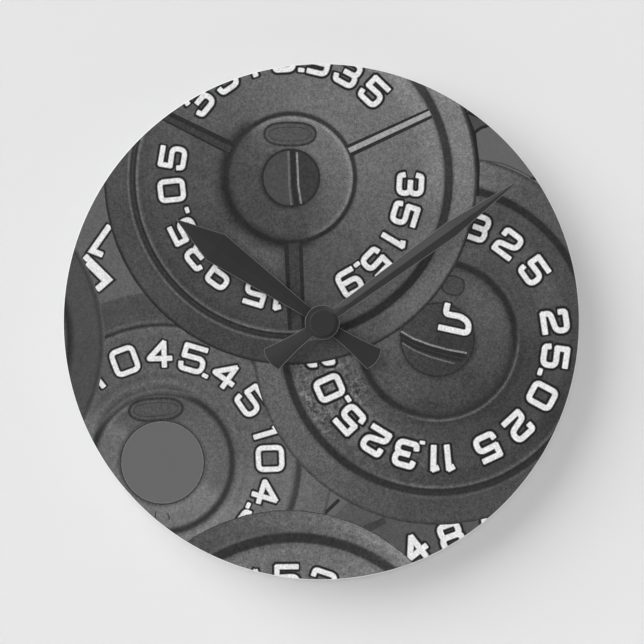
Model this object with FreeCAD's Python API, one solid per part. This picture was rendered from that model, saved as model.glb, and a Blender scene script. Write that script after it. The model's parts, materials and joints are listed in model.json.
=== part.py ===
import FreeCAD, Part
import math
import os

# Round wall clock: a disc dial of printed acrylic on a two-hand quartz movement.
# Millimetres. +Z is up, +X is to the right of a person facing the dial, and +Y points
# into the wall, so the dial faces -Y and "front" means the -Y side. The origin is on the
# axis of the hands, in the plane of the movement's back, which is the plane of the wall.
# Places in the plane of the dial are (x, z). Angles run anticlockwise from +X, facing the dial.

Vector = FreeCAD.Vector
HANDS = (0.0, 0.0)        # axis of the hands


def polar(centre, radius, degrees):
    turn = math.radians(degrees)
    return (centre[0] + radius * math.cos(turn), centre[1] + radius * math.sin(turn))


# ---------------------------------------------------------------- driving dimensions
OVER = 1.0                # how far a cutting tool runs past a face
JOIN = 0.2                # how far fused arbor sections overlap
ENGRAVING = 0.25          # depth of sunk marks

DIAL_R = 101.6            # 8 inch dial
DIAL_T = 3.0              # acrylic sheet
PRINT_T = 0.08            # printed layer
DIAL_HOLE_R = 4.05
EDGE_CHAMFER = 0.3

CASE_HALF = 28.0          # movement case is 56 x 56
CASE_DEPTH = 16.5
WALL = 1.2
CASE_INNER = CASE_HALF - WALL
CORNER_R = 2.5
INNER_CORNER_R = CORNER_R - WALL
LID_T = 1.2
BAY_TOP = -11.2           # upper face of the wall between train and battery bay
BAY_WALL = 1.0
BAY_CEILING = BAY_TOP - BAY_WALL

BUSH_R = 3.95             # threaded bush (thread drawn plain)
BUSH_BORE_R = 2.55
BUSH_END = -23.6
RUBBER_T = 0.8
RUBBER_R = 9.0
WASHER_T = 0.6
WASHER_R = 6.2
NUT_FLATS = 10.8          # across flats
NUT_T = 2.0

# faces from the case forward to the nut
CASE_FRONT = -CASE_DEPTH
FLOOR = CASE_FRONT + WALL  # inside face of the case front
DIAL_BACK = CASE_FRONT - RUBBER_T
DIAL_FRONT = DIAL_BACK - DIAL_T
PRINT_FRONT = DIAL_FRONT - PRINT_T
WASHER_FRONT = PRINT_FRONT - WASHER_T
NUT_FRONT = WASHER_FRONT - NUT_T
POST_ROOT = FLOOR - 0.3   # posts start inside the floor

HOUR_PIPE_R = 2.5
HOUR_PIPE_BORE_R = 1.80
HOUR_PIPE_END = -25.5
MINUTE_PIPE_R = 1.75
MINUTE_PIPE_BORE_R = 0.55
MINUTE_PIPE_END = -26.5
MINUTE_TIP_R = 1.6        # flatted end that carries the minute hand
MINUTE_TIP_END = -28.4
MINUTE_TIP_FLAT = 1.25    # from the axis to each flat
SECONDS_ARBOR_R = 0.5

HAND_SHEET = 0.4
HAND_NECK = 1.95          # half width of a blade at the hub
HUB_R = 6.7
CAP_R = 5.0
COLLET_R = 3.4
HOUR_ANGLE = 144.8        # the hands rest at 10:09
MINUTE_ANGLE = 35.8

PIVOT_R = 0.4
PIVOT_BORE_R = 0.44
SHOULDER_GAP = 0.08       # between an arbor's shoulder and the plate
SPIGOT_R = 0.8            # front end of the pillars, through plate and bridge
SPIGOT_HOLE_R = 0.84
SPIGOT_END = -9.2

# tooth counts, and the module of each meshing pair
CANNON_TEETH, MOTION_TEETH, CANNON_MODULE = 16, 48, 0.30
MOTION_PINION_TEETH, HOUR_TEETH, HOUR_MODULE = 12, 48, 0.32
SETTING_TEETH = 20
CENTRE_TEETH, THIRD_PINION_TEETH, CENTRE_MODULE = 64, 8, 0.255
THIRD_TEETH, SECONDS_PINION_TEETH, THIRD_MODULE = 60, 8, 0.27
SECONDS_TEETH, INTER_PINION_TEETH, SECONDS_MODULE = 60, 10, 0.27
INTER_TEETH, ROTOR_TEETH, INTER_MODULE = 60, 12, 0.22

# layers along Y, each (towards the dial, towards the wall)
HOUR_LAYER = (-14.9, -14.1)
MOTION_LAYER = (-13.6, -12.8)
PLATE_LAYER = (-12.4, -11.4)
CENTRE_LAYER = (-11.1, -10.4)
THIRD_LAYER = (-9.5, -8.8)
SECONDS_LAYER = (-8.2, -7.5)
INTER_LAYER = (-6.9, -6.2)
BRIDGE_LAYER = (-4.6, -3.6)
STATOR_LAYER = (-9.8, -8.8)
MAGNET_LAYER = (-10.4, -8.2)
BOARD_LAYER = (-8.5, -7.5)

# directions from one axis of the train to the next
HANDS_TO_THIRD = 130
HANDS_TO_INTER = 50
INTER_TO_ROTOR = 0
HANDS_TO_MOTION = 180
MOTION_TO_SETTING = 135


def mesh(centre, teeth_a, teeth_b, module, direction):
    """The axis of a wheel that meshes with the one at centre."""
    return polar(centre, (teeth_a + teeth_b) / 2 * module, direction)


THIRD = mesh(HANDS, THIRD_TEETH, SECONDS_PINION_TEETH, THIRD_MODULE, HANDS_TO_THIRD)
INTER = mesh(HANDS, SECONDS_TEETH, INTER_PINION_TEETH, SECONDS_MODULE, HANDS_TO_INTER)
ROTOR = mesh(INTER, INTER_TEETH, ROTOR_TEETH, INTER_MODULE, INTER_TO_ROTOR)
MOTION = mesh(HANDS, CANNON_TEETH, MOTION_TEETH, CANNON_MODULE, HANDS_TO_MOTION)
SETTING = mesh(MOTION, MOTION_TEETH, SETTING_TEETH, CANNON_MODULE, MOTION_TO_SETTING)
PILLARS = [(-14.0, 16.0), (9.0, 16.2), (12.0, -7.5), (-17.5, -6.5)]
BOARD_POSTS = [(-22.0, 22.9), (13.0, 22.9)]

# arbor section (radius, y0, y1) with a pivot in both train plate and bridge
PIVOTS = (PIVOT_R, PLATE_LAYER[0] + 0.1, BRIDGE_LAYER[1] - 0.1)

BATTERY_Z, BATTERY_Y, BATTERY_R = -19.6, -7.6, 7.0
SLEEVE_T = 0.1
COIL_X, COIL_Y = 22.0, -8.2
FLANGE_ZS, FLANGE_T, FLANGE_HALF = (-2.6, 16.2), 0.8, 3.6
HOOK_ZS = (-4.0, 15.0)    # lower ends of the windows for the cover's snap hooks
HOOK_WINDOW = 5.0         # window height
HOOK_PLAY = 0.3


# ---------------------------------------------------------------- helpers
def cyl(radius, y0, y1, axis=HANDS):
    start = Vector(axis[0], y0, axis[1])
    return Part.makeCylinder(radius, y1 - y0, start, Vector(0, 1, 0))


def rods(axis, *sections):
    """Cylinders on one axis, from (radius, y0, y1) sections."""
    return [cyl(radius, y0, y1, axis) for radius, y0, y1 in sections]


def upright(radius, height, x, y, z):
    return Part.makeCylinder(radius, height, Vector(x, y, z), Vector(0, 0, 1))


def along_x(radius, x0, x1, y=BATTERY_Y, z=BATTERY_Z):
    """A cylinder along X, on the battery's axis unless told otherwise."""
    return Part.makeCylinder(radius, x1 - x0, Vector(x0, y, z), Vector(1, 0, 0))


def box(x0, x1, y0, y1, z0, z1):
    """A box between limits. The X limits may come in either order."""
    x0, x1 = sorted((x0, x1))
    return Part.makeBox(x1 - x0, y1 - y0, z1 - z0, Vector(x0, y0, z0))


def face(*corners):
    return Part.Face(Part.makePolygon([*corners, corners[0]]))


def prism(outline, y0, y1):
    return face(*[Vector(x, y0, z) for x, z in outline]).extrude(Vector(0, y1 - y0, 0))


def fuse(first, *others):
    return first.multiFuse(list(others)).removeSplitter()


def bore(shape, radius, y0, y1, *axes):
    """Cuts a round hole at each axis given, or at the axis of the hands."""
    for axis in axes or (HANDS,):
        shape = shape.cut(cyl(radius, y0, y1, axis))
    return shape


def round_box(x0, x1, y0, y1, z0, z1, radius):
    """A box whose four edges along Y are rounded."""
    block = box(x0, x1, y0, y1, z0, z1)
    edges = []
    for edge in block.Edges:
        start, end = [vertex.Point for vertex in edge.Vertexes]
        if abs(start.x - end.x) < 1e-6 and abs(start.z - end.z) < 1e-6:
            edges.append(edge)
    return block.makeFillet(radius, edges)


def circles(shape):
    return [edge for edge in shape.Edges if isinstance(edge.Curve, Part.Circle)]


def bevel_rim(shape, y, size):
    """Chamfers the largest circular edge lying in the plane Y = y."""
    rims = [edge for edge in circles(shape) if abs(edge.Curve.Center.y - y) < 1e-6]
    return shape.makeChamfer(size, [max(rims, key=lambda edge: edge.Curve.Radius)])


# ---------------------------------------------------------------- gears
# Half width as a fraction of the pitch, addendum and dedendum in modules, then the flank
# as (fraction of addendum, fraction of half width).
WHEEL_TOOTH = (0.222, 0.85, 1.15, [(0.0, 1.0), (0.35, 0.86), (0.7, 0.62), (1.0, 0.30)])
PINION_TOOTH = (0.185, 0.62, 1.20, [(0.0, 1.0), (0.5, 0.82), (1.0, 0.42)])


def toothed_disc(teeth, module, y0, y1, centre, tooth, start):
    """A toothed disc with the middle of a tooth at the angle start, in radians."""
    pitch = 2 * math.pi / teeth
    pitch_r = teeth * module / 2
    width, addendum, dedendum, flank = tooth
    half = width * pitch
    side = [(pitch_r - dedendum * module, half * 1.05)]
    side += [(pitch_r + addendum * module * up, half * across) for up, across in flank]
    profile = [(r, -t) for r, t in side] + [(r, t) for r, t in reversed(side)]
    outline = []
    for i in range(teeth):
        for radius, turn in profile:
            at = start + pitch * i + turn
            outline.append((centre[0] + radius * math.cos(at), centre[1] + radius * math.sin(at)))
    return prism(outline, y0, y1)


def wheel(teeth, module, layer, centre, toward):
    """A wheel with a tooth facing the angle toward, in degrees."""
    return toothed_disc(teeth, module, *layer, centre, WHEEL_TOOTH, math.radians(toward))


def pinion(teeth, module, layer, centre, toward):
    """A pinion, a little thicker than its layer, with a gap facing the angle toward."""
    start = math.radians(toward) + math.pi / teeth
    y0, y1 = layer[0] - 0.1, layer[1] + 0.1
    return toothed_disc(teeth, module, y0, y1, centre, PINION_TOOTH, start)


# ---------------------------------------------------------------- dial and its fixings
def dial_panel():
    dial = cyl(DIAL_R, DIAL_FRONT, DIAL_BACK)
    for y in (DIAL_FRONT, DIAL_BACK):
        dial = bevel_rim(dial, y, EDGE_CHAMFER)
    return bore(dial, DIAL_HOLE_R, DIAL_FRONT - OVER, DIAL_BACK + OVER)


def printed_face():
    layer = cyl(DIAL_R - EDGE_CHAMFER, PRINT_FRONT, DIAL_FRONT)
    return bore(layer, DIAL_HOLE_R, PRINT_FRONT - OVER, DIAL_FRONT + OVER)


def rubber_washer():
    washer = cyl(RUBBER_R, DIAL_BACK, CASE_FRONT)
    return bore(washer, BUSH_R + 0.1, DIAL_BACK - OVER, CASE_FRONT + OVER)


def brass_washer():
    washer = bevel_rim(cyl(WASHER_R, WASHER_FRONT, PRINT_FRONT), WASHER_FRONT, 0.15)
    return bore(washer, BUSH_R + 0.05, WASHER_FRONT - OVER, PRINT_FRONT + OVER)


def hex_nut():
    corners = [polar(HANDS, NUT_FLATS / math.sqrt(3), 60 * k + 30) for k in range(6)]
    hexagon = prism(corners, NUT_FRONT, WASHER_FRONT)
    # a 45 degree cone bevels the front corners
    front_r, cone_h = NUT_FLATS / 2 - 0.1, 3.0
    cone = Part.makeCone(front_r, front_r + cone_h, cone_h,
                         Vector(0, NUT_FRONT, 0), Vector(0, 1, 0))
    return bore(hexagon.common(cone), BUSH_R + 0.02, NUT_FRONT - OVER, WASHER_FRONT + OVER)


# ---------------------------------------------------------------- movement front case
def case_fittings():
    """Everything that stands on the case front, inside and out."""
    fittings = [cyl(BUSH_R, BUSH_END, FLOOR), cyl(7.5, CASE_FRONT, CASE_FRONT + 0.6)]
    for axis in PILLARS:
        fittings += rods(axis, (1.5, POST_ROOT, PLATE_LAYER[0]),
                         (SPIGOT_R, POST_ROOT, SPIGOT_END))
    for axis in BOARD_POSTS:
        fittings += rods(axis, (1.4, POST_ROOT, BOARD_LAYER[0]), (0.7, POST_ROOT, -7.0))
    # rests under the bobbin's flanges
    for z in FLANGE_ZS:
        fittings.append(box(COIL_X - 2.8, COIL_X + 2.8, POST_ROOT, COIL_Y - FLANGE_HALF,
                            z, z + FLANGE_T))
    # two cradle ribs that carry the battery
    rib_t = 2.0
    for x in (-17.0, 15.0):
        rib = box(x, x + rib_t, POST_ROOT, -9.5, -CASE_INNER - 0.2, BAY_CEILING + 0.2)
        fittings.append(rib.cut(along_x(BATTERY_R + 0.2, x - OVER, x + rib_t + OVER)))
    return fittings


def movement_front_case():
    outer = CASE_HALF + OVER
    case = round_box(-CASE_HALF, CASE_HALF, CASE_FRONT, 0, -CASE_HALF, CASE_HALF, CORNER_R)
    # room for the rear cover, then the train's room and the battery bay
    case = case.cut(box(-outer, outer, -LID_T, OVER, BAY_CEILING, outer))
    for z0, z1 in ((BAY_TOP, CASE_INNER), (-CASE_INNER, BAY_CEILING)):
        case = case.cut(round_box(-CASE_INNER, CASE_INNER, FLOOR, OVER, z0, z1, INNER_CORNER_R))
    case = fuse(case, *case_fittings())
    case = bore(case, BUSH_BORE_R, BUSH_END - OVER, FLOOR + OVER)
    for radius, axis in ((PIVOT_BORE_R, MOTION), (0.64, SETTING)):
        case = bore(case, radius, FLOOR - 0.6, FLOOR + OVER, axis)
    for side in (-1, 1):
        # way through the bay wall for each contact strip
        case = case.cut(box(side * 25.9, side * CASE_INNER, -11.3, -3.7,
                            BAY_CEILING - OVER, BAY_TOP + OVER))
        # windows for the cover's snap hooks
        for z in HOOK_ZS:
            case = case.cut(box(side * 25, side * 30, -4.7, -3.1, z, z + HOOK_WINDOW))
    # battery finger notch in the lower wall
    case = case.cut(upright(9.0, 6.0, 0, 2.5, -CASE_INNER - 3))
    # polarity marks, a plus and a minus: (middle x, half size in x, half size in z)
    for x, half_x, half_z in ((19.0, 1.5, 0.35), (19.0, 0.35, 1.5), (-21.0, 1.5, 0.35)):
        case = case.cut(box(x - half_x, x + half_x, FLOOR - ENGRAVING, FLOOR + OVER,
                            BATTERY_Z - half_z, BATTERY_Z + half_z))
    return case


# ---------------------------------------------------------------- rear cover
HANG_Z, HANG_R, HANG_SLOT_R = 36.0, 4.0, 2.0
HANG_SLOT_RISE = 6.2
HANG_T = 2.0
LID_ROOT = -LID_T / 2     # fittings on the cover start inside its sheet


def hanger_tab():
    """The tab above the case, stepped forward to its full thickness outside it."""
    tab = prism([(-13, 26), (13, 26), (8.2, 38), (-8.2, 38)], -HANG_T, 0)
    tab = tab.fuse(cyl(8.2, -HANG_T, 0, (0, 38.6)))
    return tab.cut(box(-14, 14, -HANG_T - OVER, -LID_T, 25, CASE_HALF + 0.05))


def snap_hooks():
    hooks = []
    for side in (-1, 1):
        for z in HOOK_ZS:
            z0, z1 = z + HOOK_PLAY, z + HOOK_WINDOW - HOOK_PLAY
            hooks.append(box(side * 25.75, side * 26.65, -4.6, -2.5, z0, z1))
            hooks.append(box(side * 26.6, side * 27.45, -4.1, -3.2, z0, z1))
    return hooks


def knob_arrow():
    """Cutter for an arc of almost a quarter turn round the knob, with an arrow head."""
    arc = bore(cyl(8.6, -ENGRAVING, OVER, SETTING), 7.9, -1, 2, SETTING)
    sector = [SETTING] + [polar(SETTING, 14, degrees) for degrees in (-60, -15, 25)]
    arc = arc.common(prism(sector, -1, 2))
    head = [polar(SETTING, radius, degrees) for radius, degrees in ((9.9, 24), (6.7, 24), (8.25, 38))]
    return arc.fuse(prism(head, -ENGRAVING, OVER))


def movement_rear_cover():
    lid = round_box(-CASE_HALF, CASE_HALF, -LID_T, 0, BAY_CEILING, CASE_HALF, CORNER_R)
    # squares off the lower corners
    lid = fuse(lid, box(-CASE_HALF, CASE_HALF, -LID_T, 0, BAY_CEILING, 0))
    well = cyl(6.5, -4.3, LID_ROOT, SETTING)
    # lip that stands inside the case walls
    play, lip_t = 0.15, 1.0
    reach = CASE_INNER - play
    low = BAY_TOP + play
    lip = round_box(-reach, reach, -2.7, LID_ROOT, low, reach, INNER_CORNER_R)
    lip = lip.cut(box(-reach + lip_t, reach - lip_t, -4, 0, low + lip_t, reach - lip_t))
    ribs = [box(x, x + 0.8, -2.2, LID_ROOT, -10.5, 26.0) for x in (-9.5, 17.4)]
    lid = fuse(lid, hanger_tab(), well, lip, *snap_hooks(), *ribs)
    # knob well, and the way through it for the setting arbor
    lid = bore(lid, 5.6, -3.3, OVER, SETTING)
    lid = bore(lid, 1.26, -6, OVER, SETTING)
    # keyhole
    slot_top = HANG_Z + HANG_SLOT_RISE
    lid = bore(lid, HANG_R, -5, OVER, (0, HANG_Z))
    lid = bore(lid, HANG_SLOT_R, -5, OVER, (0, slot_top))
    lid = lid.cut(box(-HANG_SLOT_R, HANG_SLOT_R, -5, OVER, HANG_Z, slot_top))
    lid = lid.cut(knob_arrow())
    # grip lines, where the cover is pressed when it is unclipped
    for k in range(5):
        z = 19.0 - 1.4 * k
        lid = lid.cut(box(9.5, 22.5, -ENGRAVING, OVER, z, z + 0.6))
    return lid.removeSplitter()


# ---------------------------------------------------------------- plates that carry the train
BRIDGE_OUTLINE = [         # (x, z)
    (-19.4, -8.6), (16.9, -8.6), (16.9, 18.5), (-16.2, 18.5),
    (-16.2, 14.4), (-9.4, 14.4), (-9.4, -0.4), (-19.4, -0.4)]


def train_plate():
    front, back = PLATE_LAYER
    plate = round_box(-21.0, 17.2, front, back, -10.3, 18.9, 2.0)
    # two blocks that reach back to the stator
    blocks = [box(15.2, 17.0, front + 0.2, STATOR_LAYER[0], z, z + 2.0) for z in (9.6, 2.9)]
    plate = fuse(plate, *blocks)
    for radius, axes in ((1.66, [HANDS]), (PIVOT_BORE_R, [THIRD, INTER, ROTOR, MOTION]),
                         (1.26, [SETTING]), (SPIGOT_HOLE_R, PILLARS)):
        plate = bore(plate, radius, front - OVER, back + OVER, *axes)
    return plate


def rear_bridge():
    front, back = BRIDGE_LAYER
    legs = [cyl(1.6, PLATE_LAYER[1], back, axis) for axis in PILLARS]
    bridge = fuse(prism(BRIDGE_OUTLINE, front, back), *legs)
    bridge = bore(bridge, PIVOT_BORE_R, front - OVER, back + OVER, HANDS, THIRD, INTER, ROTOR)
    return bore(bridge, SPIGOT_HOLE_R, PLATE_LAYER[1] - OVER, SPIGOT_END + 0.2, *PILLARS)


# ---------------------------------------------------------------- motion work
def hour_wheel():
    front, back = HOUR_LAYER
    disc = wheel(HOUR_TEETH, HOUR_MODULE, HOUR_LAYER, HANDS, HANDS_TO_MOTION)
    pipe = rods(HANDS, (HOUR_PIPE_R, HOUR_PIPE_END, front + 0.3), (3.3, -15.15, front + 0.3))
    return bore(fuse(disc, *pipe), HOUR_PIPE_BORE_R, HOUR_PIPE_END - OVER, back + OVER)


def motion_wheel():
    front, back = MOTION_LAYER
    toward = HANDS_TO_MOTION + 180
    return fuse(
        wheel(MOTION_TEETH, CANNON_MODULE, MOTION_LAYER, MOTION, toward),
        pinion(MOTION_PINION_TEETH, HOUR_MODULE, HOUR_LAYER, MOTION, toward),
        *rods(MOTION, (1.3, HOUR_LAYER[1], front + JOIN),
              (PIVOT_R, FLOOR - 0.5, PLATE_LAYER[1] + 0.1),
              (0.9, back - JOIN, PLATE_LAYER[0] - SHOULDER_GAP)))


def minute_pipe():
    back = MOTION_LAYER[1]
    groove_end = -9.85    # wall side of the collar behind the centre wheel
    pipe = fuse(
        pinion(CANNON_TEETH, CANNON_MODULE, MOTION_LAYER, HANDS, HANDS_TO_MOTION),
        *rods(HANDS, (MINUTE_PIPE_R, MINUTE_PIPE_END, back),
              (MINUTE_TIP_R, MINUTE_TIP_END, MINUTE_PIPE_END + 0.1),
              (1.6, back, CENTRE_LAYER[0] - 0.05),
              (1.2, CENTRE_LAYER[0] - JOIN, groove_end),
              (1.9, groove_end - 0.2, groove_end)))
    for side in (-1, 1):
        pipe = pipe.cut(box(side * MINUTE_TIP_FLAT, side * 3, -29, MINUTE_PIPE_END, -3, 3))
    return bore(pipe, MINUTE_PIPE_BORE_R, -19.0, -9)


def setting_pinion():
    # the motion wheel has a tooth facing the hands, so the pinion is turned by the part
    # of a pitch at which the line of centres falls
    step = 360.0 / MOTION_TEETH
    part = ((MOTION_TO_SETTING - (HANDS_TO_MOTION + 180)) / step) % 1.0
    toward = MOTION_TO_SETTING + 180 + part * 360.0 / SETTING_TEETH
    return fuse(
        pinion(SETTING_TEETH, CANNON_MODULE, MOTION_LAYER, SETTING, toward),
        *rods(SETTING, (1.2, MOTION_LAYER[1], -2.0), (0.6, FLOOR - 0.5, MOTION_LAYER[0])))


def setting_knob():
    x, z = SETTING
    knob = bevel_rim(cyl(5.0, -2.9, -0.4, SETTING), -0.4, 0.3)
    grooves = [polar(SETTING, 5.12, 15 * k) for k in range(24)]
    knob = bore(knob, 0.35, -4, OVER, *grooves)
    knob = knob.cut(box(x - 0.45, x + 0.45, -0.9, OVER, z - 3.6, z + 3.6))
    # socket for the setting pinion's arbor
    return bore(knob, 1.205, -4, -1.995, SETTING)


# ---------------------------------------------------------------- going train
def centre_wheel():
    front, back = CENTRE_LAYER
    disc = wheel(CENTRE_TEETH, CENTRE_MODULE, CENTRE_LAYER, HANDS, HANDS_TO_THIRD)
    disc = fuse(disc, cyl(2.4, front, back + 0.05))
    return bore(disc, 1.24, front - OVER, back + OVER)


def clutch_spring():
    start = Vector(0, CENTRE_LAYER[1] + 0.07, 0)
    return bore(Part.makeCone(2.2, 1.7, 0.25, start, Vector(0, 1, 0)), 1.22, -11, -9)


def third_wheel():
    front, back = THIRD_LAYER
    toward = HANDS_TO_THIRD + 180
    return fuse(
        wheel(THIRD_TEETH, THIRD_MODULE, THIRD_LAYER, THIRD, toward),
        pinion(THIRD_PINION_TEETH, CENTRE_MODULE, CENTRE_LAYER, THIRD, toward),
        *rods(THIRD, (0.7, CENTRE_LAYER[1], front + JOIN), (1.6, back - JOIN, back + 0.4),
              PIVOTS, (0.7, back, BRIDGE_LAYER[0] - SHOULDER_GAP)))


def seconds_wheel():
    front, back = SECONDS_LAYER
    return fuse(
        wheel(SECONDS_TEETH, SECONDS_MODULE, SECONDS_LAYER, HANDS, HANDS_TO_INTER),
        pinion(SECONDS_PINION_TEETH, THIRD_MODULE, THIRD_LAYER, HANDS, HANDS_TO_THIRD),
        *rods(HANDS, (0.72, THIRD_LAYER[1], front + JOIN),
              (SECONDS_ARBOR_R, -18.5, THIRD_LAYER[0] + JOIN),
              (PIVOT_R, back - JOIN, BRIDGE_LAYER[1] - 0.1),
              (0.8, back - JOIN, BRIDGE_LAYER[0] - SHOULDER_GAP)))


def intermediate_wheel():
    front, back = INTER_LAYER
    return fuse(
        wheel(INTER_TEETH, INTER_MODULE, INTER_LAYER, INTER, INTER_TO_ROTOR),
        pinion(INTER_PINION_TEETH, SECONDS_MODULE, SECONDS_LAYER, INTER, HANDS_TO_INTER + 180),
        *rods(INTER, (0.9, SECONDS_LAYER[1], front + JOIN), PIVOTS,
              (0.7, PLATE_LAYER[1] + SHOULDER_GAP, SECONDS_LAYER[0]),
              (0.9, back - JOIN, BRIDGE_LAYER[0] - SHOULDER_GAP)))


def rotor_pinion():
    return fuse(
        pinion(ROTOR_TEETH, INTER_MODULE, INTER_LAYER, ROTOR, INTER_TO_ROTOR + 180),
        *rods(ROTOR, (0.9, MAGNET_LAYER[0] - 0.3, INTER_LAYER[0]), PIVOTS))


def rotor_magnet():
    front, back = MAGNET_LAYER
    return bore(cyl(2.5, front, back, ROTOR), 0.905, front - OVER, back + OVER, ROTOR)


# ---------------------------------------------------------------- stepping motor
# stator outlines (x, z), parted by a slit at the height of the rotor
SLIT_TOP, SLIT_BOTTOM = ROTOR[1] + 0.25, ROTOR[1] - 0.25
UPPER_STATOR = [
    (10.4, SLIT_TOP), (10.4, 10.6), (12.5, 12.4), (15.6, 19.0), (24.0, 19.0),
    (24.0, 17.2), (18.0, 17.2), (17.6, 11.0), (17.6, SLIT_TOP)]
LOWER_STATOR = [
    (10.4, SLIT_BOTTOM), (17.6, SLIT_BOTTOM), (17.6, 3.0), (18.0, -2.8), (24.0, -2.8),
    (24.0, -5.0), (15.6, -5.0), (12.5, 1.9), (10.4, 3.9)]


def stator(outline):
    front, back = STATOR_LAYER
    return bore(prism(outline, front, back), 2.9, front - OVER, back + OVER, ROTOR)


def coil_box(half_x, half_y, z0, z1):
    return box(COIL_X - half_x, COIL_X + half_x, COIL_Y - half_y, COIL_Y + half_y, z0, z1)


def coil_core():
    return coil_box(1.2, 0.6, -5.0, 18.8)


def coil_bobbin():
    tube = coil_box(1.75, 1.15, FLANGE_ZS[0], FLANGE_ZS[1] + FLANGE_T)
    flanges = [coil_box(FLANGE_HALF, FLANGE_HALF, z, z + FLANGE_T) for z in FLANGE_ZS]
    return fuse(tube, *flanges).cut(coil_box(1.22, 0.62, -4, 18))


def coil_winding():
    return upright(3.4, 17.96, COIL_X, COIL_Y, -1.78).cut(coil_box(1.77, 1.17, -4, 18))


def coil_leads():
    return Part.makeCompound([upright(0.12, 3.6, x, -7.36, 17.02) for x in (20.0, 22.9)])


# ---------------------------------------------------------------- circuit
def circuit_board():
    front, back = BOARD_LAYER
    board = box(-25.6, 25.6, front, back, 19.8, 26.2)
    return bore(board, 0.76, front - OVER, back + OVER, *BOARD_POSTS)


def quartz_crystal():
    y, z = -6.45, 24.6
    return fuse(along_x(1.0, -19.0, -13.0, y, z), along_x(0.8, -13.1, -12.6, y, z))


def chip_blob():
    """The cap of a sphere that stands behind the board."""
    ball = Part.makeSphere(3.6, Vector(-4.0, -9.5, 22.9))
    return ball.common(box(-9, 1, BOARD_LAYER[1], 0, 18, 28))


def contact_strip(side, tip):
    """A bent strip at the end of the battery on the given side, pressed in to x = tip."""
    near, far, top = 26.1, 26.4, 22.6
    outline = [
        (near, -25.5), (near, -23.5), (tip, BATTERY_Z - 1.0), (tip, BATTERY_Z + 1.0),
        (near, -15.7), (near, top), (far, top), (far, -15.6),
        (tip + 0.32, BATTERY_Z + 0.9), (tip + 0.32, BATTERY_Z - 0.9), (far, -23.6), (far, -25.5)]
    strip = prism([(side * x, z) for x, z in outline], -10.6, -4.6)
    # tongue that lies behind the board
    return fuse(strip, box(side * 23.6, side * far, -7.48, -7.18, 20.2, top))


# ---------------------------------------------------------------- battery
def battery_cell():
    cell = along_x(BATTERY_R - SLEEVE_T, -25.15, 24.05)
    cell = cell.makeFillet(0.5, circles(cell))
    tip = 25.35
    nub = along_x(2.75, 23.9, tip)
    rim = [edge for edge in circles(nub) if abs(edge.Curve.Center.x - tip) < 1e-6]
    return fuse(cell, nub.makeChamfer(0.3, rim))


def battery_sleeve():
    return along_x(BATTERY_R, -24.5, 23.4).cut(along_x(BATTERY_R - SLEEVE_T, -30, 30))


# ---------------------------------------------------------------- hands
# Each hand is drawn along +X in the XY plane, with its thickness up +Z.
def place_hand(drawing, degrees, y_back):
    """Turns a drawn hand to its angle on the dial, with its back at y_back."""
    drawing = drawing.copy()
    drawing.rotate(Vector(0, 0, 0), Vector(0, 0, 1), degrees)
    # drawing X, Y, Z become clock X, Z, -Y
    return drawing.transformGeometry(
        FreeCAD.Matrix(1, 0, 0, 0, 0, 0, -1, y_back, 0, 1, 0, 0, 0, 0, 0, 1))


def creased_blade(stations, sheet):
    """A pressed sheet blade; stations are (distance, half width, crease height)."""
    def split_quad(a, b, c, d):
        return [face(a, b, c), face(a, c, d)]

    spans = list(zip(stations, stations[1:]))
    faces = []
    for z in (sheet, 0.0):
        for side in (1, -1):
            for (x0, w0, h0), (x1, w1, h1) in spans:
                faces += split_quad(Vector(x0, side * w0, z), Vector(x1, side * w1, z),
                                    Vector(x1, 0, z + h1), Vector(x0, 0, z + h0))
    for side in (1, -1):
        for (x0, w0, _), (x1, w1, _) in spans:
            faces.append(face(Vector(x0, side * w0, 0), Vector(x1, side * w1, 0),
                              Vector(x1, side * w1, sheet), Vector(x0, side * w0, sheet)))
    for x, w, h in (stations[0], stations[-1]):
        for side in (1, -1):
            faces += split_quad(Vector(x, side * w, 0), Vector(x, 0, h),
                                Vector(x, 0, sheet + h), Vector(x, side * w, sheet))
    solid = Part.makeSolid(Part.makeShell(faces))
    # the shell may come out facing inwards
    if solid.Volume < 0:
        solid.reverse()
    return solid.removeSplitter()


def hand_tail(length, corner, half, neck):
    """A tail along -X with hollow flared sides and a round end."""
    root, steps = HUB_R - 1.5, 8
    edge = []
    for i in range(steps + 1):
        u = i / steps
        edge.append((root + (corner - root) * u, neck + (half - neck) * u ** 1.55))
    end_r = (half ** 2 + (length - corner) ** 2) / (2 * (length - corner))
    end = []
    for i in range(1, 9):
        w = half * (1 - 2 * i / 9)
        end.append((length - end_r + math.sqrt(end_r ** 2 - w ** 2), w))
    outline = edge + end + [(x, -w) for x, w in reversed(edge)]
    return face(*[Vector(-x, w, 0) for x, w in outline]).extrude(Vector(0, 0, HAND_SHEET))


def hand(length, wide_at, half_wide, slope, tail):
    """Blade, hub and tail; slope is the crease height over the blade's half width."""
    # the crease follows the width, and falls almost to nothing at the hub
    full = 12.0
    full_w = HAND_NECK + (half_wide - HAND_NECK) * (full - HUB_R) / (wide_at - HUB_R)
    stations = [(HUB_R - 1.2, HAND_NECK, 0.05), (full, full_w, slope * full_w),
                (wide_at, half_wide, slope * half_wide),
                (length - 0.6, 0.28, slope * 0.28), (length, 0.08, 0.02)]
    hub = upright(HUB_R, HAND_SHEET + 0.1, 0, 0, -0.05)
    return fuse(creased_blade(stations, HAND_SHEET), hub, tail)


def hour_hand():
    tail = hand_tail(length=26.3, corner=24.8, half=4.8, neck=2.1)
    drawing = hand(length=69.7, wide_at=50.9, half_wide=6.15, slope=0.17, tail=tail)
    drawing = drawing.cut(upright(COLLET_R + 0.005, 6, 0, 0, -3))
    return place_hand(drawing, HOUR_ANGLE, -24.4)


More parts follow.
